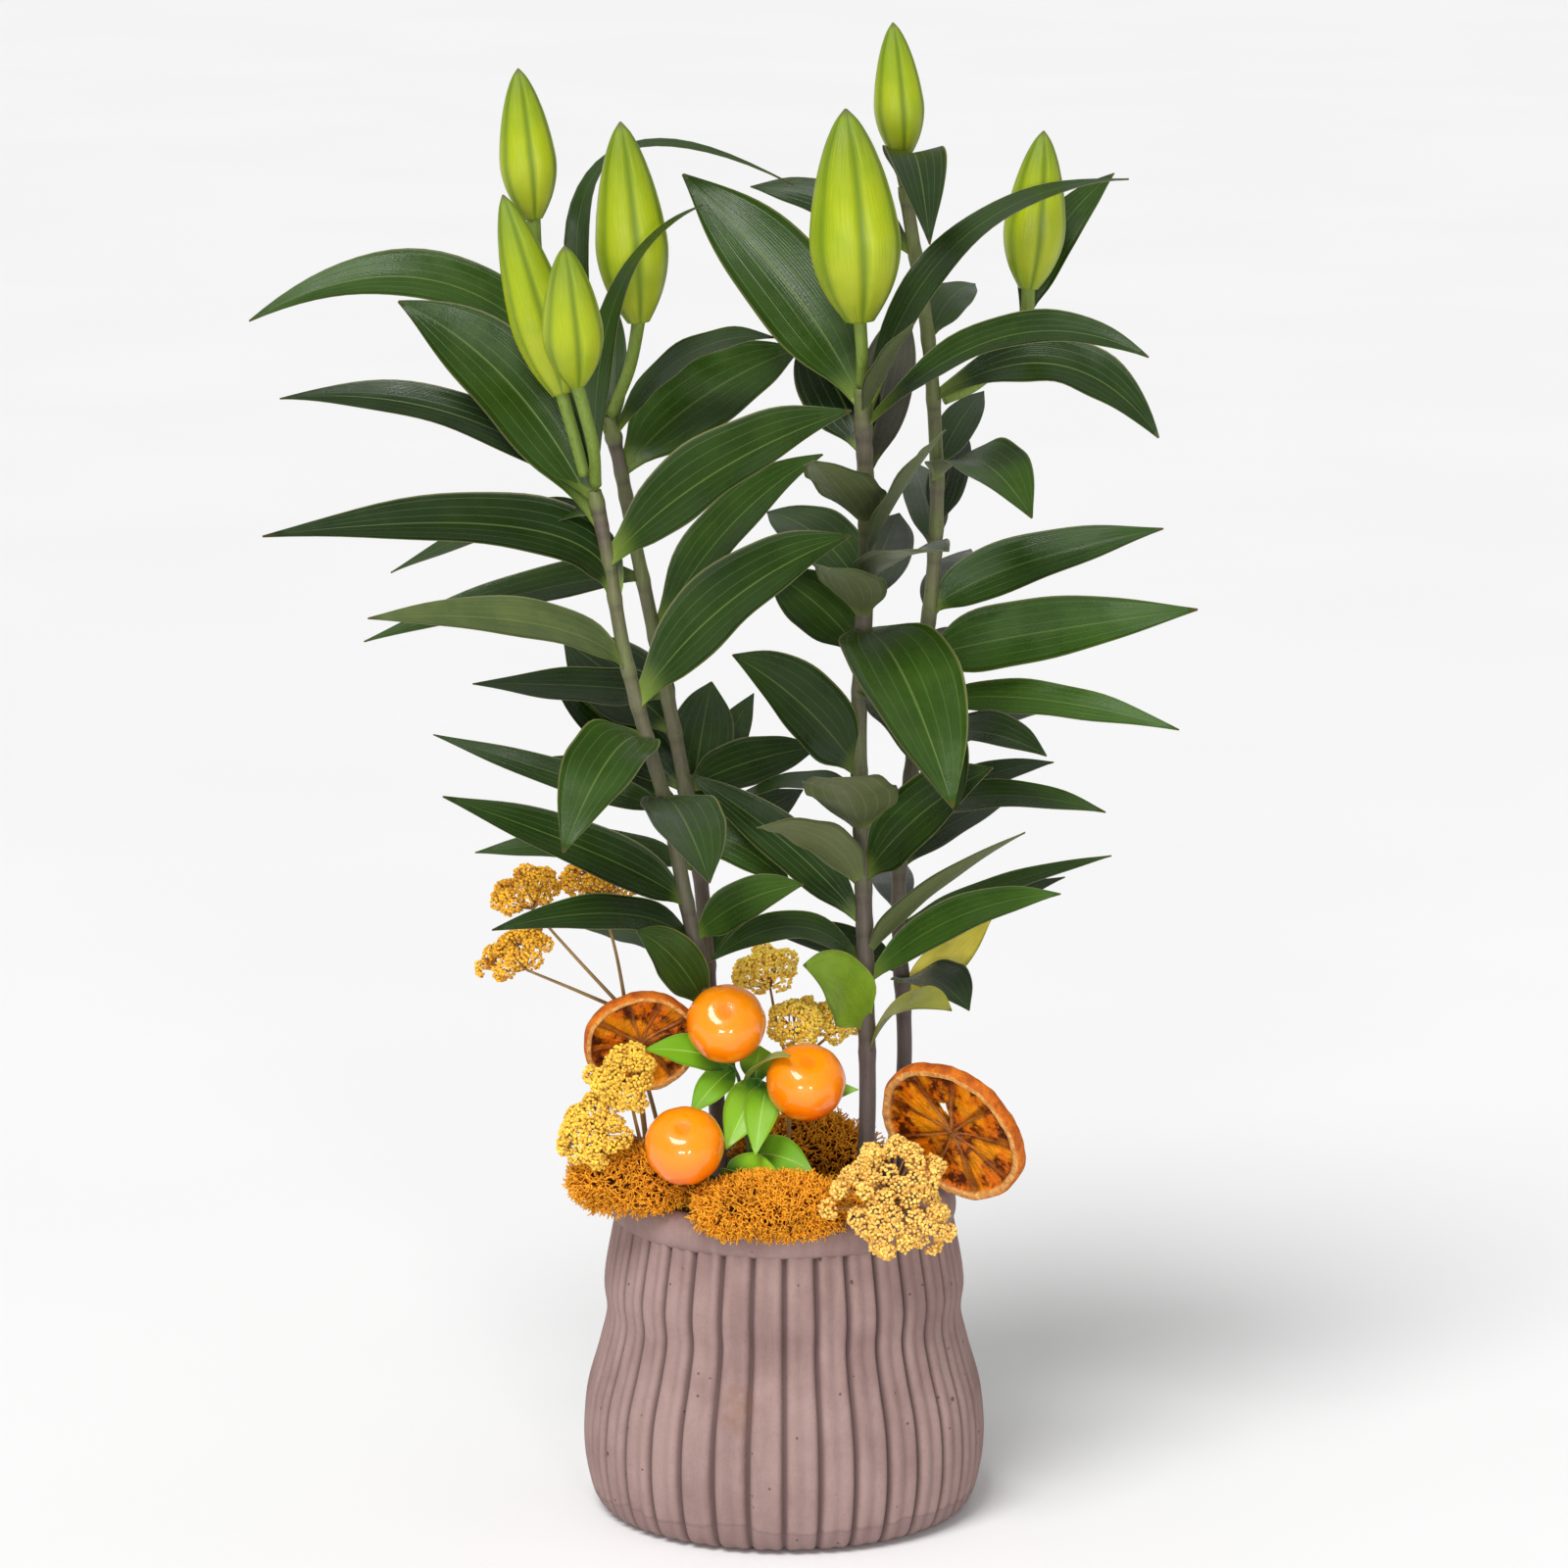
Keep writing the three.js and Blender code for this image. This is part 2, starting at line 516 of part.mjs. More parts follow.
// Blade from its root to its tip, arched over and pointed; a wide one is folded a little along its middle
function blade(root, tip, shape) {
  const { width, arch, roll, lean = LEAN, rows = BLADE_ROWS, thickness = LEAF_THICKNESS } = shape;
  const chord = tip.clone().sub(root);
  const control = root.clone().addScaledVector(chord, 0.5 - lean);
  control.z += 2 * arch;
  const curve = new THREE.QuadraticBezierCurve3(root, control, tip);
  const tilt = roll * Math.PI / 180;
  const facing = new THREE.Vector3(0, -Math.sin(tilt), Math.cos(tilt));
  const places = width < FOLDED_WIDTH ? [-1, 1] : [-1, 0, 1];
  const top = [];
  const bottom = [];
  for (const [share, spread] of rows) {
    const point = curve.getPoint(share);
    const along = curve.getTangent(share);
    const across = new THREE.Vector3().crossVectors(facing, along).normalize();
    const face = new THREE.Vector3().crossVectors(along, across);
    for (const place of places) {
      const side = point.clone().addScaledVector(across, place * 0.5 * width * spread);
      side.addScaledVector(face, Math.abs(place) * BLADE_FOLD * width * spread);
      top.push(side.clone().addScaledVector(face, thickness / 2));
      bottom.push(side.clone().addScaledVector(face, -thickness / 2));
    }
  }
  return sheet(top, bottom, places.length);
}

// Closed thin sheet between two grids of points with the same number across, each split alike
function sheet(top, bottom, wide) {
  const rows = top.length / wide;
  const under = top.length;
  const index = [];
  for (let k = 0; k + 1 < rows; k += 1) {
    for (let j = 0; j + 1 < wide; j += 1) {
      const a = wide * k + j;
      const b = a + wide;
      index.push(a, b + 1, a + 1, a, b, b + 1);
      index.push(under + a, under + a + 1, under + b + 1, under + a, under + b + 1, under + b);
    }
  }
  const rim = [];
  for (let k = 0; k < rows; k += 1) rim.push(wide * k);
  for (let j = 1; j < wide; j += 1) rim.push(wide * (rows - 1) + j);
  for (let k = rows - 2; k >= 0; k -= 1) rim.push(wide * k + wide - 1);
  for (let j = wide - 2; j > 0; j -= 1) rim.push(j);
  for (let i = 0; i < rim.length; i += 1) {
    const a = rim[i];
    const b = rim[(i + 1) % rim.length];
    index.push(a, under + b, b, a, under + a, under + b);
  }
  const geometry = new THREE.BufferGeometry();
  geometry.setFromPoints([...top, ...bottom]);
  geometry.setIndex(index);
  return solid(geometry);
}

// Turn a shape made about +Z so that it faces a direction, and put it in its place
function placed(shape, facing, centre) {
  const up = new THREE.Vector3(0, 0, 1);
  const turn = new THREE.Quaternion().setFromUnitVectors(up, vector(facing).normalize());
  const matrix = new THREE.Matrix4().compose(vector(centre), turn, new THREE.Vector3(1, 1, 1));
  return shape.transform(matrix.elements);
}

// Small mandarin with a dimple at the end that faces out and a bore for its wire at the other
function mandarin({ centre, facing }) {
  const r = FRUIT_RADIUS;
  const profile = [[0, -0.86 * r], [0.45 * r, -0.8 * r], [0.82 * r, -0.5 * r], [r, 0], [0.88 * r, 0.45 * r],
    [0.55 * r, 0.8 * r], [0.22 * r, 0.88 * r], [0, 0.8 * r]];
  const bore = straightRod([0, 0, -r - 1], [0, 0, -WIRE_END + GAP], WIRE_RADIUS + GAP);
  return placed(turned(profile, 12).subtract(bore), facing, centre);
}

// Dried orange slice: thick rind, sunken flesh in segments, and thin walls between them that stand proud
function orangeSlice({ centre, facing, radius, pick }) {
  const steps = SLICE_SEGMENTS * 2;
  const rings = [];
  const ring = (share, height) => {
    const points = [];
    for (let j = 0; j < steps; j += 1) {
      const angle = 2 * Math.PI * j / steps;
      const wall = j % 2 === 0 && share < 0.85 ? SLICE_WALL * Math.sign(height) : 0;
      points.push(new THREE.Vector3(radius * share * Math.cos(angle), radius * share * Math.sin(angle),
        height + wall));
    }
    return points;
  };
  for (const [share, height] of SLICE_ROWS) rings.push(ring(share, -height));
  rings.push(ring(1, 0));
  for (const [share, height] of SLICE_ROWS.toReversed()) rings.push(ring(share, height));
  const bore = straightRod(pick[0], beyond(pick[0], pick[1], GAP), PICK_RADIUS + GAP);
  return largest(placed(skin(rings), facing, centre).subtract(bore));
}

// Ball covered in small points: each face rises to a peak, but for those on its underside
function peakedBall(peak, random) {
  const ball = new THREE.IcosahedronGeometry(1, 1);
  const place = ball.attributes.position;
  const corner = (i) => new THREE.Vector3().fromBufferAttribute(place, i);
  const points = [];
  for (let i = 0; i < place.count; i += 3) {
    const [a, b, c] = [corner(i), corner(i + 1), corner(i + 2)];
    const middle = a.clone().add(b).add(c).divideScalar(3);
    if (middle.z < -0.15) {
      points.push(a, b, c);
    } else {
      const top = middle.normalize().multiplyScalar(peak * (1 + 0.16 * (random() - 0.5)));
      points.push(a, b, top, b, c, top, c, a, top);
    }
  }
  return solid(new THREE.BufferGeometry().setFromPoints(points));
}

// Yarrow head: a low dome covered in small florets, one to each peak
function yarrowHead({ centre, facing, size, seed }) {
  const [wide, deep] = size;
  const dome = peakedBall(1.12, seeded(seed)).scale([wide * 0.9, wide * 0.9, deep * 0.9]);
  return placed(dome, facing, centre);
}

// Lump of lacy moss: short pointed tufts that stand out all over a flat core
function mossLump({ centre, size, seed }) {
  const tufts = peakedBall(1.25, seeded(seed)).scale(size.map((length) => length * 0.8));
  return tufts.translate(centre);
}

// Thin rods, each along its own line, fused where they meet
function twig(lines, radius) {
  let shape = null;
  for (const line of lines) {
    const piece = rod(line.map(vector), line.map(() => radius), 4);
    shape = shape ? shape.add(piece) : piece;
  }
  return shape;
}

// Point where a mandarin's wire ends inside it, and the point behind the fruit that leads to it
function wireEnds({ centre, facing }) {
  const way = vector(facing).normalize();
  const end = vector(centre).addScaledVector(way, -WIRE_END);
  const outside = vector(centre).addScaledVector(way, -FRUIT_RADIUS - 1);
  return [outside.toArray(), end.toArray()];
}

// Wires and leaves of the mandarin sprig, fused into one
function sprig() {
  const wires = SPRIG_WIRES.map(({ line, fruit }) => [...line, ...wireEnds(MANDARINS[fruit])]);
  let shape = twig(wires, WIRE_RADIUS);
  for (const leaf of SPRIG_LEAVES) {
    const look = { ...leaf, rows: SMALL_ROWS, thickness: SMALL_THICKNESS };
    shape = shape.add(blade(vector(leaf.root), vector(leaf.tip), look));
  }
  return shape;
}

// Tan stem of a yarrow spray, with a branch that stops just under each head
function yarrowStem({ stem, heads }) {
  const lines = [stem];
  for (const { centre, facing, size } of heads) {
    const under = vector(centre).addScaledVector(vector(facing).normalize(), -0.9 * size[1] - 1.5 * GAP);
    lines.push([stem.at(-1), under.toArray()]);
  }
  return twig(lines, TWIG_RADIUS);
}

// Leafy stem: the bare stem with each of its leaves rooted at the stem's middle line
function leafyStem(name) {
  const stem = STEMS[name];
  let shape = bareStem(stem);
  for (const leaf of LEAVES[name]) {
    shape = shape.add(blade(onStem(stem, leaf.root), vector(leaf.tip), leaf));
  }
  return shape;
}

// Point on a stem's middle line at a height
function onStem(stem, height) {
  const above = stem.line.findIndex((point) => point[2] > height);
  const upper = vector(stem.line[above]);
  const lower = vector(stem.line[above - 1]);
  return lower.clone().lerp(upper, (height - lower.z) / (upper.z - lower.z));
}

// Space that the moss keeps out of: the heaped soil under it and the pot's lip
function underMoss() {
  const lip = POT_LIP.map(([r, z]) => [r + MOSS_CLEAR, z + GAP]);
  const mouth = MOUTH_RADIUS - 2 * GAP;
  const ground = HEAP.map(([r, z]) => [r, z + 2 * GAP]);
  const edge = [[mouth, POT_LIP.at(-1)[1] + GAP], [mouth, SOIL_TOP + 2 * GAP]];
  return turned([[0, POT_INSIDE[0][1]], ...lip, ...edge, ...ground], ROUND_SIDES);
}

// The whole part
const part = new THREE.Group();
part.name = 'potted_lily';

function addPiece(name, shape, look) {
  const [color, roughness] = LOOKS[look];
  const material = new THREE.MeshStandardMaterial({ color, roughness, metalness: 0 });
  const mesh = new THREE.Mesh(geometryOf(shape), material);
  mesh.name = name;
  part.add(mesh);
}

// Holes in the soil and the moss for everything that stands in them
const stemHoles = Object.values(STEMS).map((stem) => bareStem(stem, GAP));
const wireTop = SPRIG_WIRES[0].line[1];
const wireHole = straightRod(beyond(wireTop, SPRIG_FOOT, GAP), wireTop, WIRE_RADIUS + GAP);
const pickHoles = Object.values(SLICES).map(({ pick: [foot, top] }) => {
  return straightRod(beyond(top, foot, GAP), top, PICK_RADIUS + GAP);
});
const twigHoles = Object.values(YARROW).map(({ stem }) => {
  const line = [beyond(stem[1], stem[0], GAP), ...stem.slice(1)].map(vector);
  return rod(line, line.map(() => TWIG_RADIUS + 2 * GAP), 4);
});
const holes = [...stemHoles, wireHole, ...pickHoles, ...twigHoles];

addPiece('pot', pot(), 'pot');
addPiece('soil', soil(holes), 'soil');
for (const name of Object.keys(STEMS)) addPiece(`stem_${name}`, leafyStem(name), 'plant');
for (const [name, shape] of Object.entries(BUDS)) addPiece(name, bud(shape), 'bud');
for (const [name, fruit] of Object.entries(MANDARINS)) addPiece(name, mandarin(fruit), 'fruit');
addPiece('sprig', sprig(), 'sprig');
for (const [name, slice] of Object.entries(SLICES)) {
  addPiece(`orange_slice_${name}`, orangeSlice(slice), 'slice');
  addPiece(`pick_${name}`, straightRod(slice.pick[0], slice.pick[1], PICK_RADIUS), 'pick');
}
for (const [name, spray] of Object.entries(YARROW)) {
  addPiece(`yarrow_${name}_stem`, yarrowStem(spray), 'twig');
  spray.heads.forEach((head, i) => {
    addPiece(`yarrow_${name}_head_${i + 1}`, yarrowHead({ ...head, seed: i + 3 }), spray.look);
  });
}
for (const [name, lump] of Object.entries(MOSS)) {
  let shape = mossLump(lump).subtract(underMoss());
  for (const hole of holes) shape = shape.subtract(hole);
  addPiece(name, largest(shape), 'moss');
}

export default part;
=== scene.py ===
import math
import random

import bpy
import numpy as np
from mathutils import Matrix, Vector


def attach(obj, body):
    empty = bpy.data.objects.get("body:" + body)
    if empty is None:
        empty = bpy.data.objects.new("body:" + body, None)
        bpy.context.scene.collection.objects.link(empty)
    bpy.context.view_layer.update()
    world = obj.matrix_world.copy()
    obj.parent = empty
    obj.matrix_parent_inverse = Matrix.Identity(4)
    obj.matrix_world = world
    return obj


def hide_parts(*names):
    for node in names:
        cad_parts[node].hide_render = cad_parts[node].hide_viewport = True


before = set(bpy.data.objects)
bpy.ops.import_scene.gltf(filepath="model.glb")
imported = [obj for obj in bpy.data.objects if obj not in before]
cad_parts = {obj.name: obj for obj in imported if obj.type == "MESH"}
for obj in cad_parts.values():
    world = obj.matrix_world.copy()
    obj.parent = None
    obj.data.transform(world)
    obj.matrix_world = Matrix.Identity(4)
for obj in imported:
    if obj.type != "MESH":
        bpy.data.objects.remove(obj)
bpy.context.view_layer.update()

# Driving dimensions
MM = 0.001
FRONT = -math.pi / 2
FLUTES = 34
GROOVE_DEPTH = 3.3
FOOT_ROUNDING = 1.2
SOIL_TOP = 126
LEAN = 0.12
BLADE_COLUMNS = 9
BLADE_THICKNESS = 0.8
BLADE_FOLD = 0.13
NARROW_FOLD = 0.07
FOLDED_WIDTH = 23
FRUIT_RADIUS = 16.6
WIRE_END = 8
SLICE_SEGMENTS = 9
MOSS_FORKS = 3

# Camera at the photo's viewing angle: place in metres, tilt in degrees, focal length in the photo's pixels
CAMERA_PLACE = (0, -3.0, 0.93)
CAMERA_TILT = 11.64
FOCAL_PIXELS = 7482
PHOTO_PIXELS = 1600
SENSOR_WIDTH = 36

# Outline of a blade as share of its length and of its width: a lily leaf, and a small leaf of the sprig
BLADE_ROWS = [(0, 0.16), (0.1, 0.34), (0.25, 0.82), (0.5, 1), (0.8, 0.66), (1, 0.03)]
SMALL_ROWS = [(0, 0.22), (0.3, 0.95), (0.68, 0.9), (1, 0.03)]

# Outline of a bud as share of its length and of its width
BUD_ROWS = [(0, 0.32), (0.06, 0.52), (0.14, 0.74), (0.24, 0.92), (0.35, 1.01), (0.5, 0.95), (0.62, 0.84),
            (0.75, 0.67), (0.87, 0.45), (0.955, 0.22), (1, 0.03)]

# Outer profile of the pot as radius and height: the fluted body and the rolled lip
POT_BODY = [(71, 0), (80, 6), (84.7, 26), (83.8, 50), (78, 72), (75, 86), (76, 101), (71.5, 127)]
POT_LIP = [(69, 125.5), (71.8, 127), (72.9, 131), (72.4, 136), (70, 139.8), (66.8, 141.3), (64.5, 139),
           (64, 133), (64.2, 124)]

# One flute of the pot as share of its width and depth below the outer profile
FLUTE_ROWS = [(0, 3.5), (0.05, 2.7), (0.1, 1.6), (0.15, 0.6), (0.21, 0.12), (0.29, 0), (0.39, 0.3), (0.47, 0.85),
              (0.54, 1.05), (0.61, 0.8), (0.7, 0.2), (0.79, 0), (0.85, 0.3), (0.9, 1.0), (0.95, 2.2)]

# More profiles as radius and height: the pot's inside, the soil's side and floor, and a bulb
POT_INSIDE = [(64.2, 124), (69, 70), (75, 44), (72, 18), (60, 7), (0.1, 7)]
SOIL_SIDE = [(63.6, SOIL_TOP - 1.2), (68.6, 70), (74.6, 44), (71.6, 18), (59.6, 7.4), (0.1, 7.4)]
BULB = [(0.2, 40), (11, 40.3), (18.6, 52), (18.6, 58), (8.4, 71.8), (0.2, 73.8)]

# By distance from the pot's axis: height of the soil above SOIL_TOP, and lowest height of the moss
SOIL_MOUND = [(0, 2.6), (20, 2.2), (45, 0.8), (64, -1)]
MOSS_FLOOR = [(0, 130), (60, 128), (64, 140), (66.8, 142.2), (70, 140.8), (72.4, 138), (73.5, 134), (80, 132)]

# Outline of a mandarin from its underside to its dimple, as shares of its radius
FRUIT_ROWS = [(0.01 / FRUIT_RADIUS, -0.87), (0.3, -0.85), (0.62, -0.7), (0.88, -0.42), (0.995, -0.02),
              (0.93, 0.37), (0.74, 0.66), (0.5, 0.815), (0.28, 0.855), (0.12, 0.845), (0.01 / FRUIT_RADIUS, 0.84)]

# Middle line of each stem, from the bulb to the top, with its radius at the soil and at the top
STEMS = {
    "a": dict(foot=3.4, top=2.8, line=[
        (-28, -20, 66), (-28, -20, 126), (-28, -18, 180), (-34, -18, 230), (-40, -18, 262),
        (-48, -19, 303), (-57, -20, 336), (-66, -21, 372), (-72, -22, 408), (-78, -23, 440)]),
    "b": dict(foot=3.4, top=2.8, line=[
        (-27, 26, 66), (-27, 26, 126), (-30, 23, 190), (-35, 22, 265), (-42, 22, 309), (-54, 22, 370),
        (-63, 22, 414), (-68, 22, 441), (-73, 22, 464)]),
    "c": dict(foot=3.6, top=3.3, line=[
        (32, -22, 66), (32, -20, 126), (35, -14, 174), (34, -14, 237), (33, -15, 276), (31, -16, 336),
        (33, -17, 386), (34, -18, 427), (32, -20, 482)]),
    "d": dict(foot=3.3, top=2.8, line=[
        (40, 27, 66), (44, 26, 126), (51, 26, 184), (49, 27, 239), (49, 28, 272), (55, 29, 323),
        (62, 30, 390), (64, 30, 425), (63, 30, 460), (60, 30, 496), (55, 30, 528), (50, 30, 559)]),
}


def leaf(root, tip, width, arch, roll, lean=LEAN, look="leaf"):
    """A leaf: its root's place or height on the stem, tip, width, arch, roll in degrees, lean and look"""
    return dict(root=root, tip=tip, width=width, arch=arch, roll=roll, lean=lean, look=look)


LEAVES = {
    "a": [
        # To the left, from the top down
        leaf(425, (-159, 0, 515), 36, 17, 48),
        leaf(435, (-209, 10, 473), 24, 17, 30),
        leaf(430, (-164, 15, 399), 20, 7, 30, lean=0.2),
        leaf(395, (-212, -60, 427), 32, 22, 40, lean=0.5),
        leaf(365, (-169, -70, 395), 23, 11, 35, lean=0.3, look="grey"),
        leaf(305, (-147, 15, 330), 16, 0, 40, lean=0.3),
        leaf(265, (-140, -55, 318), 24, 4, 45, lean=0.3),
        leaf(245, (-120, -60, 263), 22, 12, 30, lean=0.3),
        leaf(220, (-61, -44, 259), 21, 6, 65),
        # To the front
        leaf(335, (-90, -80, 300), 34, 13, 30),
        leaf(310, (-30, -115, 295), 32, 6, 10),
        # To the right
        leaf(435, (-33, -40, 560), 13, 60, 20, lean=0.65),
        leaf(410, (27, -75, 481), 37, 9, 45),
        leaf(350, (27, -70, 429), 36, 12, 45),
        leaf(250, (8, -50, 280), 20, 5, 55),
    ],
    "b": [
        # To the left and the back, from the top down
        leaf(455, (-222, 20, 504), 27, 42, 45),
        leaf(455, (-70, 55, 505), 10, 4, 20),
        leaf(395, (-177, 40, 365), 24, 5, 30, lean=0.3),
        leaf(345, (-132, 55, 344), 22, 2, 40, lean=0.3),
        leaf(330, (-94, 85, 357), 34, 2, 60),
        leaf(305, (-100, 60, 348), 26, 0, 50),
        leaf(290, (-115, 50, 309), 17, 10, 30),
        leaf(270, (-131, 40, 274), 19, 7, 30),
        leaf(230, (-88, 75, 234), 18, 4, 30),
        # Bowed to the left, then over to the right behind the buds
        leaf(430, (4, 10, 562), 11, 158, 20, lean=1.4),
        # To the right
        leaf(455, (-4, 0, 500), 22, 15, 25),
        leaf(440, (7, 60, 487), 36, 8, 45),
        leaf(370, (16, -5, 452), 28, 12, 35),
        leaf(305, (15, 55, 317), 22, 3, 60),
        leaf(295, (-31, 80, 340), 28, 4, 60),
        leaf(295, (-13, 85, 334), 18, 2, 60),
        leaf(285, (3, 5, 267), 20, 6, 50),
        leaf(275, (8, 65, 296), 22, 3, 55),
        leaf(230, (-11, 55, 246), 16, 3, 55),
    ],
    "c": [
        # To the left, from the top down
        leaf(475, (-42, 30, 564), 38, 10, 60, lean=0.2),
        # Set back behind stem c: its dark tint is painted shade
        leaf(455, (8, 22, 498), 32, 4, 60, look="dark"),
        leaf(395, (-7, 60, 417), 27, 8, 55),
        leaf(370, (-5, 30, 396), 28, 4, 55),
        leaf(320, (-21, -60, 378), 32, 6, 55),
        leaf(310, (-30, 40, 292), 16, 9, 20),
        leaf(270, (-11, -60, 306), 24, 9, -35, look="grey"),
        leaf(255, (-40, 10, 314), 22, 6, 50),
        leaf(235, (-31, -45, 246), 21, 17, 30),
        leaf(210, (8, -55, 247), 27, 6, 60, look="bright"),
        # To the front
        leaf(425, (12, -90, 463), 30, 2, 5),
        leaf(410, (65, -80, 474), 30, 4, 35),
        leaf(400, (66, -100, 428), 30, 5, 10),
        leaf(385, (18, -100, 421), 28, 5, 8),
        leaf(380, (68, -105, 324), 46, 14, 12),
        leaf(355, (70, -75, 316), 32, 14, 20, lean=-0.25),
        leaf(295, (20, -110, 337), 38, 4, 5),
        # To the right and the back
        leaf(465, (143, 30, 562), 21, 40, 15, lean=0.3),
        leaf(465, (147, -70, 502), 24, 23, 30, lean=0),
        leaf(470, (53, -60, 515), 17, 5, 20),
        # Between stem c and stem d: its dull tint is painted shade with a grey sheen
        leaf(445, (51, 75, 502), 24, 4, 60, look="dull"),
        leaf(390, (49, 80, 413), 26, 3, 50),
        leaf(275, (85, -70, 333), 30, 6, 50),
        leaf(240, (99, -55, 303), 15, 8, -20, lean=0.3, look="grey"),
        leaf(230, (114, -50, 276), 20, 10, 42, look="light"),
        leaf(200, (69, -60, 229), 22, 12, 30, look="olive"),
    ],
    "d": [
        # Round the top bud and to the left
        leaf(555, (59, -48, 545), 25, 24, 10, lean=0.25),
        leaf(530, (-14, 45, 557), 20, 8, 45),
        leaf(225, (-8, 60, 236), 17, 5, 45),
        # To the right, from the top down
        leaf(470, (156, 20, 455), 30, 23, 30, lean=-0.1),
        leaf(435, (101, -50, 433), 34, 15, 25),
        leaf(380, (159, 30, 415), 25, 6, 50, lean=0.3, look="light"),
        leaf(360, (172, 0, 386), 30, 2, 55, lean=0.3, look="light"),
        leaf(340, (164, -15, 338), 19, 7, 42, look="light"),
        leaf(320, (108, -40, 332), 26, 9, 30),
        leaf(290, (134, -10, 302), 20, 9, 30),
        leaf(245, (138, 20, 277), 12, 3, 30),
        leaf(220, (77, -30, 222), 28, 7, 25),
        # To the back
        leaf(495, (81, 90, 510), 18, 6, 50),
        leaf(440, (85, 90, 464), 16, 4, 60),
        leaf(415, (77, 95, 447), 17, 4, 50),
        leaf(405, (55, 135, 427), 18, 6, 20),
        leaf(375, (81, 135, 388), 18, 6, 20),
        leaf(355, (77, 90, 361), 16, 3, 50),
        leaf(310, (112, 80, 327), 13, 7, 20),
        leaf(285, (115, 65, 308), 16, 8, 40),
        leaf(270, (96, 80, 288), 15, 5, 40),
        leaf(250, (43, 130, 250), 18, 6, 20),
        leaf(235, (120, 60, 259), 15, 3, 35),
        leaf(210, (88, 40, 245), 17, 2, 70, look="yellow"),
    ],
}

# Closed buds: the pedicel's line from the stem to the bud's base, the bud's tip and width; one has a bract
BUDS = {
    "bud_a_left": dict(stalk=[(-82, -22, 446), (-86, -23, 462), (-91, -25, 480)], tip=(-115, -14, 561), width=25),
    "bud_a_right": dict(stalk=[(-77.3, -25.8, 443), (-78, -42, 462), (-84, -54, 489)], tip=(-88, -76, 548),
                        width=25),
    "bud_b_left": dict(stalk=[(-76, 19.6, 468.2), (-92, 9, 500), (-101, 3, 527), (-103, 2, 549)],
                       tip=(-109, 2, 611), width=23.5),
    "bud_b_right": dict(stalk=[(-71.8, 20.4, 465.2), (-64, 8, 486), (-60, -3, 507)], tip=(-67, -6, 590), width=30),
    "bud_c": dict(stalk=[(32, -20.8, 483.3), (32, -27, 496), (31, -30, 511)], tip=(25, -30, 598), width=37.5),
    "bud_d_top": dict(stalk=[(50, 30, 559.5), (49, 30, 565), (49, 30, 571)], tip=(45, 30, 627), width=21),
    "bud_d_right": dict(
        stalk=[(66.6, 31.5, 469.5), (80, 36, 475), (93, 39, 487), (101, 40, 503), (102, 40, 515)],
        tip=(108, 40, 581), width=26, bract=leaf((100, 41, 499), (139, 75, 559), 18, 15, 60, lean=0.35)),
}

# Mandarins on wires: middle, and the way that the dimple faces
MANDARINS = {
    "mandarin_top": dict(centre=(-24, -42, 219), facing=(0, -0.8, 0.585)),
    "mandarin_right": dict(centre=(9, -46, 195), facing=(0.07, -0.63, 0.77)),
    "mandarin_low": dict(centre=(-41, -66, 173), facing=(-0.05, -0.68, 0.73)),
}

# Wires of the mandarin sprig, from the soil to each fruit, and its leaves
SPRIG_WIRES = [
    dict(line=[(-14, -34, 96), (-14, -33, 150), (-18, -30, 188), (-21, -27, 197)], fruit="mandarin_top"),
    dict(line=[(-17.5, -30, 186), (-9, -31, 190), (0, -29, 181)], fruit="mandarin_right"),
    dict(line=[(-14, -33, 142), (-24, -42, 150), (-34, -50, 158)], fruit="mandarin_low"),
]
SPRIG_LEAVES = [
    leaf((-21, -28, 197), (-58, -42, 208), 13, 3, 50),
    leaf((-21, -28, 196), (-39, -46, 181), 11, 2, 60),
    leaf((-18, -30, 188), (3, -62, 210), 9, 5, 30, look="pale"),
    leaf((-9, -31, 192), (-24, -52, 168), 15, 2, 60),
    leaf((-7, -32, 190), (-12, -56, 166), 12, 3, 60),
    leaf((-24, -42, 150), (-3, -56, 160), 13, 3, 60),
    leaf((-21, -39.3, 148), (-20, -62, 161), 10, 3, 40),
    leaf((-15, -32.2, 160), (12, -50, 158), 14, 3, 60),
    leaf((-12, -31, 191), (-10, -19, 204), 12, 2, 20),
    leaf((1, -30, 181), (31, -34, 189), 10, 2, 50),
]

# Dried orange slices, each on a pick: middle, the way its face looks, radius, and the pick's two ends
SLICES = {
    "left": dict(centre=(-59.5, -27, 208), facing=(0.15, -0.93, -0.33), radius=24,
                 pick=[(-50, -22, 96), (-60.5, -19.7, 186.6)]),
    "right": dict(centre=(70.5, -42, 173.5), facing=(-0.53, -0.73, -0.42), radius=34,
                  pick=[(53, -18, 96), (52.5, -22, 159.5)]),
}

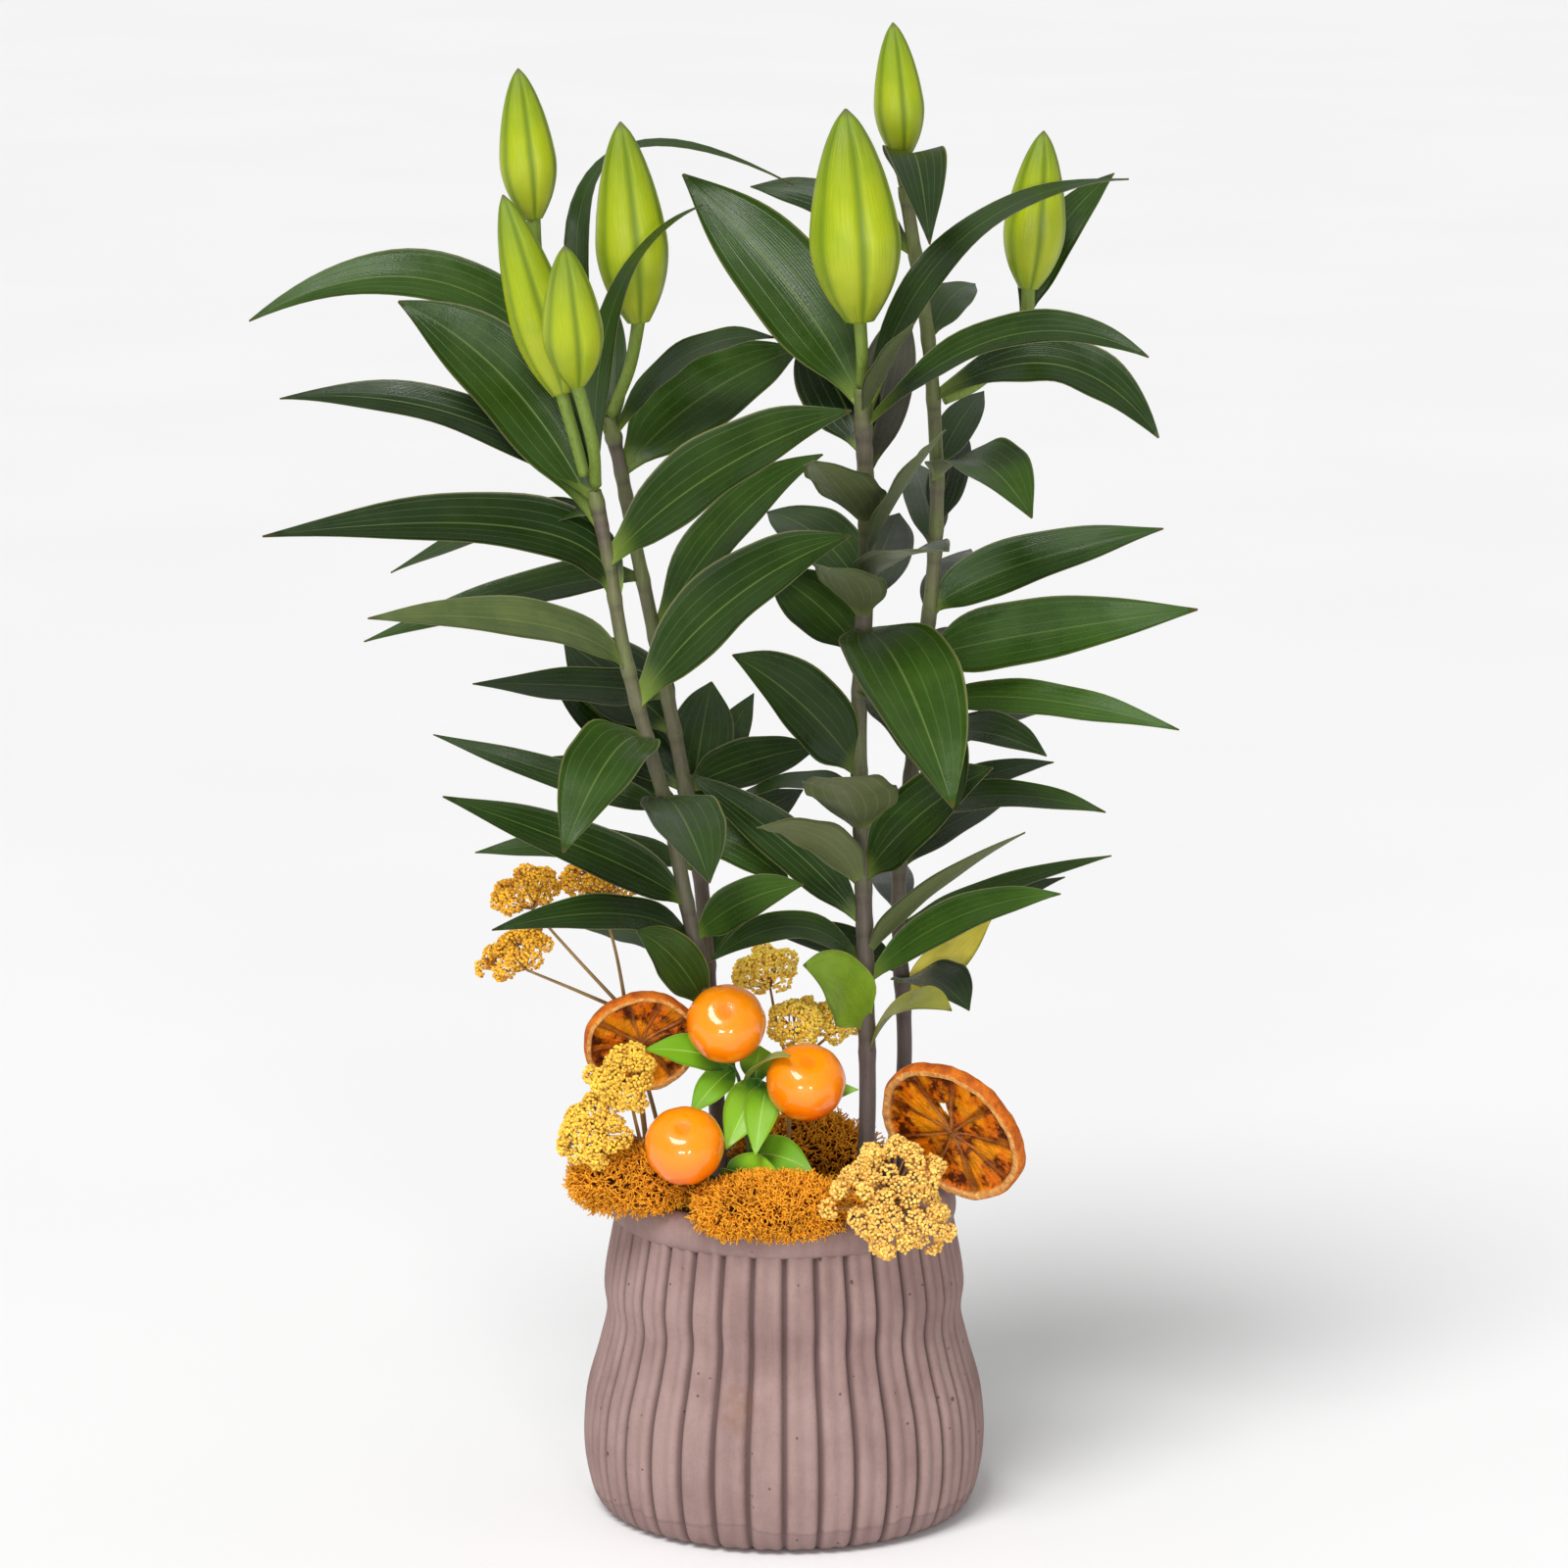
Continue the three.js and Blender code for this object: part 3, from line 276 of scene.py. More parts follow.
# Yarrow sprays: a stem from the soil with a branch to each head; each head's middle, facing and half sizes
YARROW = {
    "left": dict(look="yarrow", stem=[(-45, 2, 96), (-50, 0, 150), (-66, -4, 215)], heads=[
        dict(centre=(-111, -14, 242), facing=(-0.5, -0.2, 1), size=(16, 8), tint="deep"),
        dict(centre=(-107, -8, 267), facing=(-0.3, -0.1, 1), size=(14.5, 8), tint="deep"),
        dict(centre=(-76, -2, 271), facing=(0, -0.1, 1), size=(18, 9.5), tint="deep")]),
    "front": dict(look="yarrow", stem=[(-48, -30, 96), (-52, -34, 142), (-60, -42, 170)], heads=[
        dict(centre=(-66, -51, 198), facing=(-0.2, -0.9, 0.7), size=(14, 10)),
        dict(centre=(-79, -49, 175), facing=(-0.6, -0.9, 0.5), size=(15, 10))]),
    # The middle heads take a lighter copy of the yarrow colour: painted light, as they sit in shade
    "middle": dict(look="yarrow", stem=[(2, 8, 96), (2, 8, 150), (2, 6, 190)], heads=[
        dict(centre=(-8, 6, 230), facing=(-0.3, -0.3, 1), size=(14, 8), tint="painted_light_yellow"),
        dict(centre=(5, -9, 211), facing=(0, -0.8, 0.8), size=(11, 9), tint="painted_light_yellow"),
        dict(centre=(21, 3, 209), facing=(0.3, -0.5, 1), size=(9, 8), tint="painted_light_yellow")]),
    "rim": dict(look="yarrow_pale", stem=[(24, -40, 96), (25, -42, 140), (36, -54, 156)], heads=[
        dict(centre=(45, -77, 154), facing=(0.1, -0.9, 0.4), size=(27, 12))]),
}

# Lumps of lacy moss on the soil: middle, half sizes and number of tufts
MOSS = {
    "moss_left": dict(centre=(-62, -40, 152), size=(30, 20, 14), seed=5, tufts=620),
    "moss_front": dict(centre=(-6, -65, 146), size=(37, 16, 13), seed=8, tufts=700),
    "moss_right": dict(centre=(26, -46, 138), size=(17, 11, 14), seed=12, tufts=300),
    "moss_back": dict(centre=(10, 40, 142), size=(36, 15, 18), seed=15, tufts=480),
}


# Colours of 0 to 255: darkest and lightest of each kind of leaf, lightest and darkest of each kind of floret
LEAF_TINTS = {
    "leaf": ((24, 44, 10), (48, 76, 16)),
    "light": ((40, 68, 18), (58, 90, 24)),
    "bright": ((108, 140, 34), (124, 156, 44)),
    "olive": ((128, 136, 48), (140, 140, 56)),
    "yellow": ((196, 184, 64), (206, 194, 72)),
    # Painted shade: this tint darkens a leaf set back in shade behind stem c
    "dark": ((22, 38, 14), (30, 50, 18)),
    "grey": ((82, 96, 56), (94, 106, 64)),
    # Painted shade with a grey sheen: the tint of a leaf in shade between stem c and stem d
    "dull": ((66, 66, 56), (76, 74, 64)),
    "pale": ((150, 160, 74), (160, 170, 80)),
    "sprig": ((104, 164, 26), (138, 190, 38)),
}
YARROW_TINTS = {
    "yarrow": ((252, 214, 84), (206, 160, 64)),
    "yarrow_pale": ((250, 216, 116), (212, 158, 76)),
    "deep": ((244, 190, 58), (184, 126, 42)),
    # A lighter copy of the yarrow colour: painted light for the middle heads, which sit in shade
    "painted_light_yellow": ((255, 230, 100), (232, 184, 72)),
}
TINTS = {
    # The two stem colours after the top colour are painted shade: a purple band under each leaf and a dark line
    # below each joint
    "stem_foot": (88, 77, 74), "stem_top": (104, 112, 64), "purple_leaf_shade": (92, 74, 78), "joint_crease_shade": (70, 60, 50),
    "bulb": (196, 180, 130), "pedicel": (112, 132, 52), "wire": (70, 92, 42), "pick": (150, 118, 76),
    "yarrow_stem": (150, 120, 76), "yarrow_branch": (158, 128, 84), "yarrow_stalk": (176, 138, 92),
    # Moss: a core painted dark as shade, and threads painted from shade inside to highlight at the tips
    "moss_shade_core": (78, 42, 14), "moss_highlight": (246, 172, 42), "moss_shade": (176, 90, 16),
}

# Share of a head's bunches that have dropped out
HEAD_GAPS = {"yarrow": 0.06, "yarrow_pale": 0.2}


def linear(color):
    """A colour of 0 to 255, or the name of one, as the linear values that shaders take"""
    share = np.array(TINTS.get(color, color)) / 255
    return np.where(share <= 0.04045, share / 12.92, ((share + 0.055) / 1.055) ** 2.4)


# Gathering of meshes


def linked(name, data):
    """A new object in the scene"""
    thing = bpy.data.objects.new(name, data)
    bpy.context.scene.collection.objects.link(thing)
    return thing


class Shape:
    """Points and faces of one piece, with a colour and three form values at each point"""

    def __init__(self):
        self.points, self.tints, self.forms = [], [], []
        self.faces, self.looks, self.smooth = [], [], []
        self.count = 0

    def add(self, points, faces, tint=(1, 1, 1), form=(0, 0, 0), look=0, smooth=True):
        points = np.asarray(points, float).reshape(-1, 3)
        self.points.append(points)
        for store, values in ((self.tints, tint), (self.forms, form)):
            store.append(np.broadcast_to(np.asarray(values, float), points.shape))
        for block in faces:
            block = np.asarray(block, np.int64)
            self.faces.append(block + self.count)
            self.looks.append(np.full(len(block), look))
            self.smooth.append(np.full(len(block), smooth))
        self.count += len(points)

    def finish(self, name, materials, slot, *nodes):
        """Makes one object, tied to the body and the nodes that it stands for; the slot is not used"""
        mesh = bpy.data.meshes.new(name)
        points = np.concatenate(self.points) * MM
        corners = np.concatenate([block.ravel() for block in self.faces])
        sizes = np.concatenate([np.full(len(block), block.shape[1]) for block in self.faces])
        mesh.vertices.add(len(points))
        mesh.vertices.foreach_set("co", points.ravel())
        mesh.loops.add(len(corners))
        mesh.loops.foreach_set("vertex_index", corners.astype(np.int32))
        mesh.polygons.add(len(sizes))
        mesh.polygons.foreach_set("loop_start", (np.cumsum(sizes) - sizes).astype(np.int32))
        mesh.polygons.foreach_set("material_index", np.concatenate(self.looks).astype(np.int32))
        mesh.polygons.foreach_set("use_smooth", np.concatenate(self.smooth))
        tints = np.column_stack([np.concatenate(self.tints), np.ones(len(points))])
        mesh.attributes.new("tint", "FLOAT_COLOR", "POINT").data.foreach_set("color", tints.ravel())
        forms = np.concatenate(self.forms)
        mesh.attributes.new("form", "FLOAT_VECTOR", "POINT").data.foreach_set("vector", forms.ravel())
        mesh.update(calc_edges=True)
        for material in materials:
            mesh.materials.append(material)
        piece = linked(name, mesh)
        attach(piece, "root")
        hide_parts(*nodes)


def form_values(*values):
    """Form values at each point of a grid, from values by row, by column or for all"""
    return np.stack(np.broadcast_arrays(*values), axis=-1).reshape(-1, len(values))


def grid_faces(rows, columns, closed=False):
    """Quads of a grid of points, row after row; closed joins the last column to the first"""
    row, column = np.meshgrid(np.arange(rows - 1), np.arange(columns if closed else columns - 1), indexing="ij")
    first = (row * columns + column).ravel()
    second = (row * columns + (column + 1) % columns).ravel()
    return np.column_stack([first, second, second + columns, first + columns])


def tube_faces(rows, sides):
    """Faces of rings of points, row after row: the quads, the first cap and the last cap"""
    ends = np.arange(sides)
    return [grid_faces(rows, sides, closed=True), [ends[::-1]], [ends + (rows - 1) * sides]]


def unit(vectors):
    vectors = np.asarray(vectors, float)
    return vectors / np.linalg.norm(vectors, axis=-1, keepdims=True)


def around(sides):
    """Evenly spread angles of a full turn"""
    return 2 * np.pi * np.arange(sides) / sides


def lathed(radii, heights, angles):
    """Points around +Z at radii, heights and angles, each by row, by column or for all"""
    radii, heights, angles = np.broadcast_arrays(radii, heights, angles)
    return np.stack([radii * np.cos(angles), radii * np.sin(angles), heights], axis=-1)


def smooth_line(points, per_span):
    """Points of a smooth curve through the given points"""
    points = np.asarray(points, float)
    padded = np.vstack([2 * points[0] - points[1], points, 2 * points[-1] - points[-2]])
    t = (np.arange(per_span) / per_span)[:, None]
    spans = [0.5 * (2 * b + (c - a) * t + (2 * a - 5 * b + 4 * c - d) * t ** 2 + (3 * b - a - 3 * c + d) * t ** 3)
             for a, b, c, d in zip(padded, padded[1:], padded[2:], padded[3:])]
    return np.vstack([*spans, points[-1]])


def spread_at(rows, shares):
    """Share of the width at each share of the length, along a smooth outline"""
    places, widths = np.array(rows, float).T
    slopes = np.gradient(widths, places)
    index = np.clip(np.searchsorted(places, shares, side="right") - 1, 0, len(places) - 2)
    span = places[index + 1] - places[index]
    t = (shares - places[index]) / span
    return ((2 * t ** 3 - 3 * t ** 2 + 1) * widths[index] + (t ** 3 - 2 * t ** 2 + t) * span * slopes[index]
            + (3 * t ** 2 - 2 * t ** 3) * widths[index + 1] + (t ** 3 - t ** 2) * span * slopes[index + 1])


def ring_points(line, radii, angles, first_across=(0.3, -0.9, 0.2)):
    """Rings of points around a line, carried along it without twist; radii by row, or by row and angle"""
    along = unit(np.gradient(line, axis=0))
    across = np.zeros_like(along)
    current = np.array(first_across, float)
    for i, way in enumerate(along):
        current = unit(current - way * current.dot(way))
        across[i] = current
    side = np.cross(along, across)
    ways = across[:, None] * np.cos(angles)[:, None] + side[:, None] * np.sin(angles)[:, None]
    return line[:, None] + radii[:, :, None] * ways


def add_rod(shape, line, radii, sides, tint, look=0):
    """Adds a round rod along a line, with one radius and colour or one at each point, and capped ends"""
    radii = np.broadcast_to(radii, len(line))[:, None]
    if np.ndim(tint) == 2:
        tint = np.repeat(tint, sides, axis=0)
    shape.add(ring_points(line, radii, around(sides)), tube_faces(len(line), sides), tint, look=look)


# Leaves


def add_blade(shape, root, form, rows, draw, tints, look=0, steps=26):
    """Adds a thin closed blade with a fold, a wave along its edges and a colour of its own"""
    root, tip = np.array(root, float), np.array(form["tip"], float)
    width = form["width"]
    control = root + (tip - root) * (0.5 - form["lean"]) + np.array([0, 0, 2 * form["arch"]])
    t = np.linspace(0, 1, steps)[:, None] ** 0.92
    u = np.linspace(-1, 1, BLADE_COLUMNS)
    middle = (1 - t) ** 2 * root + 2 * t * (1 - t) * control + t ** 2 * tip
    along = unit(2 * (1 - t) * (control - root) + 2 * t * (tip - control))
    roll = math.radians(form["roll"])
    across = unit(np.cross([0, -math.sin(roll), math.cos(roll)], along))
    face = np.cross(along, across)
    twist = np.radians(draw.uniform(-8, 8)) * t
    across, face = across * np.cos(twist) + face * np.sin(twist), face * np.cos(twist) - across * np.sin(twist)
    spread = spread_at(rows, t)
    fold = form.get("fold", BLADE_FOLD if width >= FOLDED_WIDTH else NARROW_FOLD)
    wave = draw.uniform(0.012, 0.03) * width
    phase = draw.uniform(0, 6.28)
    turns = draw.uniform(2.2, 3.4)
    ripple = np.sin(2 * np.pi * turns * t + phase + 1.3 * np.sign(u))
    lift = fold * width * spread * np.abs(u) ** 1.25 + wave * spread * u ** 2 * ripple
    surface = (middle[:, None] + across[:, None] * (0.5 * width * spread * u)[:, :, None]
               + face[:, None] * lift[:, :, None])
    thick = form.get("thickness", BLADE_THICKNESS) * (0.3 + 0.7 * (1 - u ** 2))[:, None] * 0.5
    count = steps * BLADE_COLUMNS
    quads = grid_faces(steps, BLADE_COLUMNS)
    number = np.arange(count).reshape(steps, BLADE_COLUMNS)
    rim = np.concatenate([number[:, 0], number[-1, 1:], number[-2::-1, -1], number[0, -2:0:-1]])
    after = np.roll(rim, -1)
    wall = np.column_stack([rim, after, after + count, rim + count])
    dark, light = (linear(tint) for tint in tints)
    shape.add([surface + face[:, None] * thick, surface - face[:, None] * thick],
              [quads[:, ::-1], quads + count, wall], dark + (light - dark) * draw.random(),
              np.concatenate([form_values(u, t, below) for below in (0, 1)]), look)


# Stems


def add_bare_stem(shape, stem, line, leaves):
    """Adds the bare stem, with a swollen joint at each leaf, painted shade as a purple band under each leaf and a
    dark line below each joint, and colour from foot to top
    """
    z = line[:, 2]
    share = np.clip((z - SOIL_TOP) / (z[-1] - SOIL_TOP), 0, 1)
    radii = stem["foot"] + (stem["top"] - stem["foot"]) * share
    low, high = linear("stem_foot"), linear("stem_top")
    tint = low + (high - low) * np.clip((z - 190) / 230, 0, 1)[:, None]
    for form in leaves:
        near = z - form["root"]
        radii = radii + 0.35 * np.exp(-(near / 3) ** 2)
        # Painted shade: a dark line just below each swollen joint, and a purple band under each leaf
        crease_shade = 0.45 * np.exp(-((near + 4) / 1.2) ** 2)[:, None]
        shade_under_leaf = 0.35 * np.exp(-((near + 9) / 7) ** 2)[:, None]
        tint = tint * (1 - shade_under_leaf) + linear("purple_leaf_shade") * shade_under_leaf
        tint = tint * (1 - crease_shade) + linear("joint_crease_shade") * crease_shade
    add_rod(shape, line, radii, 14, tint, look=1)


def add_bulb(shape, x, y):
    """Adds the scaly bulb that the stem stands on in the soil"""
    profile = smooth_line(BULB, 4)
    sides = 36
    radii = profile[:, :1] * (1 - 0.05 * np.abs(np.sin(4.5 * around(sides))))
    points = lathed(radii, profile[:, 1:], around(sides)) + np.array([x, y, 0])
    shape.add(points, tube_faces(len(profile), sides)[:1], linear("bulb"), look=1)


def build_stem(name, materials):
    stem, leaves = STEMS[name], LEAVES[name]
    line = smooth_line(stem["line"], 24)
    shape = Shape()
    add_bare_stem(shape, stem, line, leaves)
    add_bulb(shape, *stem["line"][0][:2])
    draw = random.Random("abcd".index(name) + 1)
    for form in leaves:
        root = [np.interp(form["root"], line[:, 2], values) for values in line.T]
        add_blade(shape, root, form, BLADE_ROWS, draw, LEAF_TINTS[form["look"]])
    shape.finish(f"leafy_stem_{name}", materials, "plant", f"stem_{name}")


# Buds


def build_bud(name, materials):
    """A closed bud with grooved petals on its pedicel, and its bract if it has one"""
    bud = BUDS[name]
    base, tip = np.array(bud["stalk"][-1], float), np.array(bud["tip"], float)
    t = np.concatenate([np.linspace(0, 0.08, 8)[:-1], np.linspace(0.08, 0.94, 34)[:-1],
                        np.linspace(0.94, 1, 8)])
    sides = 72
    angles = around(sides)
    third = (angles + np.pi / 3) % (2 * np.pi / 3) - np.pi / 3
    groove = np.exp(-(third / 0.13) ** 2)
    seam = np.exp(-((np.pi / 3 - np.abs(third)) / 0.05) ** 2)
    depth = 0.10 * groove + 0.035 * seam - 0.03 * np.exp(-(third / 0.035) ** 2)
    swell = 1 - 0.05 * np.exp(-(third / 0.45) ** 2)
    fade = (np.clip(t / 0.05, 0, 1) * np.clip((1 - t) / 0.05, 0, 1))[:, None]
    radii = 0.5 * bud["width"] * spread_at(BUD_ROWS, t)[:, None] * (swell * (1 - depth * fade))
    shape = Shape()
    points = ring_points(base + (tip - base) * t[:, None], radii, angles, (0.2, -1, 0))
    shape.add(points, tube_faces(len(t), sides),
              form=form_values(np.abs(third) * 3 / np.pi, t[:, None], np.sin(angles)))
    line = smooth_line([*bud["stalk"], base + 0.04 * (tip - base)], 8)
    add_rod(shape, line, 2.5 + 0.7 * np.linspace(0, 1, len(line)) ** 2, 14, linear("pedicel"), look=1)
    if "bract" in bud:
        add_blade(shape, bud["bract"]["root"], bud["bract"], BLADE_ROWS, random.Random(3), LEAF_TINTS["leaf"], 2)
    shape.finish(f"closed_{name}", materials, "bud", name)


# Placing of shapes made about +Z


def turn_to(facing):
    """Rows of a turn that takes +Z to a direction by the shortest way"""
    way = Vector(facing).normalized()
    return np.array(Vector((0, 0, 1)).rotation_difference(way).to_matrix())


def placed(points, form):
    """Points turned to the way that a form faces and moved to its centre"""
    return points @ turn_to(form["facing"]).T + np.array(form["centre"], float)


# Mandarins and their sprig


def build_mandarin(name, material):
    """A flattened fruit with a dimple on top"""
    profile = FRUIT_RADIUS * smooth_line(FRUIT_ROWS, 5)
    sides = 72
    angles = around(sides)
    lobes = 1 + 0.008 * np.sin(9 * angles + 1) + 0.007 * np.sin(3 * angles)
    points = lathed(profile[:, :1] * lobes, profile[:, 1:], angles).reshape(-1, 3)
    shape = Shape()
    shape.add(placed(points, MANDARINS[name]), tube_faces(len(profile), sides), form=points / FRUIT_RADIUS)
    shape.finish(f"glossy_{name}", [material], "mandarin", name)


def build_sprig(materials):
    """Wires from the soil into each fruit, with small leaves"""
    shape = Shape()
    for wire in SPRIG_WIRES:
        fruit = MANDARINS[wire["fruit"]]
        way = unit(fruit["facing"])
        ends = [np.array(fruit["centre"], float) - way * far for far in (FRUIT_RADIUS + 1, WIRE_END)]
        add_rod(shape, smooth_line([*wire["line"], *ends], 6), 0.85, 8, linear("wire"), look=1)
    draw = random.Random(21)
    for form in SPRIG_LEAVES:
        look = "sprig" if form["look"] == "leaf" else form["look"]
        form = dict(form, thickness=0.6, fold=0.12, width=1.15 * form["width"])
        add_blade(shape, form["root"], form, SMALL_ROWS, draw, LEAF_TINTS[look], steps=20)
    shape.finish("mandarin_sprig", materials, "sprig", "sprig")


# Dried orange slices on picks


def slice_face(radius, angle, share, draw):
    """Height above the middle plane, and how far each point is a wall between segments, over one face"""
    part = angle * SLICE_SEGMENTS / (2 * np.pi)
    bend = 0.06 * np.sin(3 * angle + draw.uniform(0, 6)) + 0.05 * np.sin(7 * share + draw.uniform(0, 6))
    distance = np.abs((part + bend + 0.5) % 1 - 0.5) * 2 * np.pi / SLICE_SEGMENTS * share * radius
    membrane = np.exp(-(distance / 0.5) ** 2)
    inner = np.clip((0.9 - share) / 0.04, 0, 1)
    heart = np.exp(-(share / 0.12) ** 2)
    fibres = 0.14 * np.sin(part * 41 + 9 * share + 2 * np.sin(5 * angle)) + 0.12 * np.sin(23 * share + 13 * angle)
    flesh = 0.8 - 0.35 * np.cos(2 * np.pi * part) + fibres + 0.75 * membrane + 0.5 * heart
    rind = 3.1 + 0.16 * np.sin(17 * angle) + 0.12 * np.sin(31 * angle + 4)
    rim = np.clip((share - 0.965) / 0.035, 0, 1)
    return (flesh * inner + rind * (1 - inner)) * (1 - 0.45 * rim ** 2), membrane * inner


def torn_part(quads, steps, shares):
    """Which quads lie in the torn gap beside the heart of the slice"""
    share = shares[quads[:, 0] // steps]
    angle = quads[:, 0] % steps / steps * 360
    return (share > 0.12) & (share < 0.42) & (angle > 50) & (angle < 50 + 24 * (0.5 + share))


def build_slice(name, materials):
    """A dried slice with sunken segments and its wooden pick; the right slice is torn"""
    form = SLICES[name]
    draw = random.Random(40 + len(name))
    steps = 216
    shares = np.concatenate([[0.01], np.linspace(0.05, 0.86, 30), np.linspace(0.88, 1, 10)])
    angle, share = np.meshgrid(around(steps), shares)
    wobble = 1 + 0.012 * np.sin(2 * angle + 1) + 0.01 * np.sin(5 * angle) + 0.006 * np.sin(11 * angle)
    points, forms = [], []
    for way in (1, -1):
        height, membrane = slice_face(form["radius"], angle, share, draw)
        dish = 0.6 * (share ** 2 - 0.5)
        points.append(lathed(form["radius"] * share * wobble, way * height + dish, angle))
        forms.append(form_values(share, membrane, np.cos(angle * SLICE_SEGMENTS)))
    quads = grid_faces(len(shares), steps, closed=True)
    last = np.arange(steps) + (len(shares) - 1) * steps
    after = np.roll(last, -1)
    wall = np.column_stack([last, last + share.size, after + share.size, after])
    if name == "right":
        quads = quads[~torn_part(quads, steps, shares)]
    shape = Shape()
    shape.add(placed(np.array(points), form), [quads[:, ::-1], quads + share.size, wall],
              form=np.concatenate(forms))
    shape.finish(f"dried_slice_{name}", materials[:1], "orange_slice", f"orange_slice_{name}")
    stick = Shape()
    foot, top = (np.array(end, float) for end in form["pick"])
    line = foot + (top - foot) * np.linspace(0, 1, 30)[:, None]
    add_rod(stick, line, 1.2 - 0.06 * np.abs(np.sin(np.arange(30))), 10, linear("pick"))
    stick.finish(f"wooden_pick_{name}", materials[1:], "pick", f"pick_{name}")


# Yarrow

GOLDEN = math.pi * (3 - math.sqrt(5))
ICO = (1 + math.sqrt(5)) / 2
GRAIN_POINTS = unit([(-1, ICO, 0), (1, ICO, 0), (-1, -ICO, 0), (1, -ICO, 0), (0, -1, ICO), (0, 1, ICO),
                     (0, -1, -ICO), (0, 1, -ICO), (ICO, 0, -1), (ICO, 0, 1), (-ICO, 0, -1), (-ICO, 0, 1)])
GRAIN_FACES = np.array([(0, 11, 5), (0, 5, 1), (0, 1, 7), (0, 7, 10), (0, 10, 11), (1, 5, 9), (5, 11, 4),
                        (11, 10, 2), (10, 7, 6), (7, 1, 8), (3, 9, 4), (3, 4, 2), (3, 2, 6), (3, 6, 8),
                        (3, 8, 9), (4, 9, 5), (2, 4, 11), (6, 2, 10), (8, 6, 7), (9, 8, 1)])


def add_grains(shape, centres, sizes, tints, draws):
    """Adds small uneven grains at the centres, each with its size and colour"""
    count = len(centres)
    uneven = 1 + 0.45 * (draws.random((count, len(GRAIN_POINTS))) - 0.5)
    points = centres[:, None] + GRAIN_POINTS * (sizes[:, None] * uneven)[:, :, None]
    faces = (GRAIN_FACES + (np.arange(count) * len(GRAIN_POINTS))[:, None, None]).reshape(-1, 3)
    shape.add(points, [faces], np.repeat(tints, len(GRAIN_POINTS), axis=0), smooth=False)


def ball_points(count, reach, shift=0.0):
    """Points spread evenly over a unit ball, from its top down to a depth of reach, each turned by its shift"""
    k = np.arange(count) + 0.5
    z = 1 - reach * k / count
    return lathed(np.sqrt(1 - z ** 2), z, GOLDEN * k + shift)


def umbel_points(count, draws):
    """Points spread a little unevenly over the upper part of a unit ball"""
    return ball_points(count, 1.22, draws.normal(0, 0.12, count))


def build_head(name, head, look, seed, materials):
    """A yarrow head: small umbels on thin stalks over a low dome, each covered in florets"""
    draws = np.random.default_rng(seed)
    wide, deep = head["size"]
    size = np.array([wide, wide, deep])
    shape = Shape()
    bunches = int(0.2 * wide * deep)
    seats = umbel_points(bunches, draws)
    angle = np.arctan2(seats[:, 1], seats[:, 0])
    reach = 0.84 + 0.1 * np.sin(3 * angle + draws.uniform(0, 6)) + 0.08 * np.sin(5 * angle + draws.uniform(0, 6))
    reach = reach * draws.uniform(0.86, 1.04, bunches)
    seats = seats * size * reach[:, None]
    seats = seats[draws.random(bunches) > HEAD_GAPS[look]]
    light, dark = (linear(tint) for tint in YARROW_TINTS[head.get("tint", look)])
    stalk = placed(np.array([0, 0, -0.9 * deep]), head)
    for seat in seats:
        way = unit(seat / size ** 2 + np.array([0, 0, 0.02]))
        bunch = draws.uniform(2.9, 4.3)
        domes = umbel_points(int(12 + 9 * bunch), draws)
        local = (domes * np.array([bunch, bunch, 0.8 * bunch])) @ turn_to(way).T + seat
        local = local + draws.normal(0, 0.3, local.shape)
        sizes = draws.uniform(0.62, 0.95, len(local))
        # Florets low on each bunch take more of the dark colour: painted shade between the bunches; the rest of
        # the mix is random tone
        mix = np.clip(draws.normal(0.35, 0.28, len(local)) + 0.5 * (domes[:, 2] < 0.25), 0, 1)[:, None]
        add_grains(shape, placed(local, head), sizes, light * (1 - mix) + dark * mix, draws)
        end = placed(seat, head)
        line = smooth_line([stalk, 0.5 * (stalk + end) + draws.normal(0, 0.8, 3), end], 3)
        add_rod(shape, line, 0.45, 4, linear("yarrow_stalk"), look=1)
    shape.finish(f"florets_{name}", materials, look, name)


def build_yarrow(name, spray, materials, draws):
    """The stem of a spray, with a branch to each head"""
    shape = Shape()
    top = np.array(spray["stem"][-1], float)
    add_rod(shape, smooth_line(spray["stem"], 8), 0.95, 8, linear("yarrow_stem"))
    for head in spray["heads"]:
        under = np.array(head["centre"], float) - unit(head["facing"]) * (0.9 * head["size"][1] + 0.5)
        middle = 0.5 * (top + under) + draws.normal(0, 0.7, 3)
        line = smooth_line([top, middle, under], 6)
        add_rod(shape, line, 0.9 - 0.03 * np.arange(len(line)), 8, linear("yarrow_branch"))
    shape.finish(f"branches_{name}", materials, "twig", f"yarrow_{name}_stem")


# Moss


def lip_height(points):
    """Height at points below which the moss would run into the pot or the soil"""
    return np.interp(np.hypot(points[:, 0], points[:, 1]), *np.array(MOSS_FLOOR).T)


def build_moss(name, lump, materials):
    """A lump of lacy moss: forked threads that grow out of a core painted dark as shade"""
    draws = np.random.default_rng(lump["seed"])
    shape = Shape()
    centre, size = np.array(lump["centre"], float), np.array(lump["size"], float)
    rows, columns = 18, 26
    z = np.sin(np.linspace(-np.pi / 2 + 0.02, np.pi / 2 - 0.02, rows))[:, None]
    core = lathed(np.sqrt(1 - z ** 2), z, around(columns)).reshape(-1, 3)
    core = core * draws.uniform(0.9, 1.1, (rows * columns, 1)) * size * 0.7 + centre
    core[:, 2] = np.maximum(core[:, 2], np.minimum(lip_height(core) + 0.2, centre[2]))
    # Dark core: painted shade inside the lump
    shape.add(core, tube_faces(rows, columns)[:1], linear("moss_shade_core"))
    ways = ball_points(lump["tufts"], 1.72)
    starts = ways * size * draws.uniform(0.58, 0.78, (len(ways), 1)) + centre
    add_tufts(shape, starts, unit(ways / size), draws)
    shape.finish(f"lacy_{name}", materials, "moss", name)


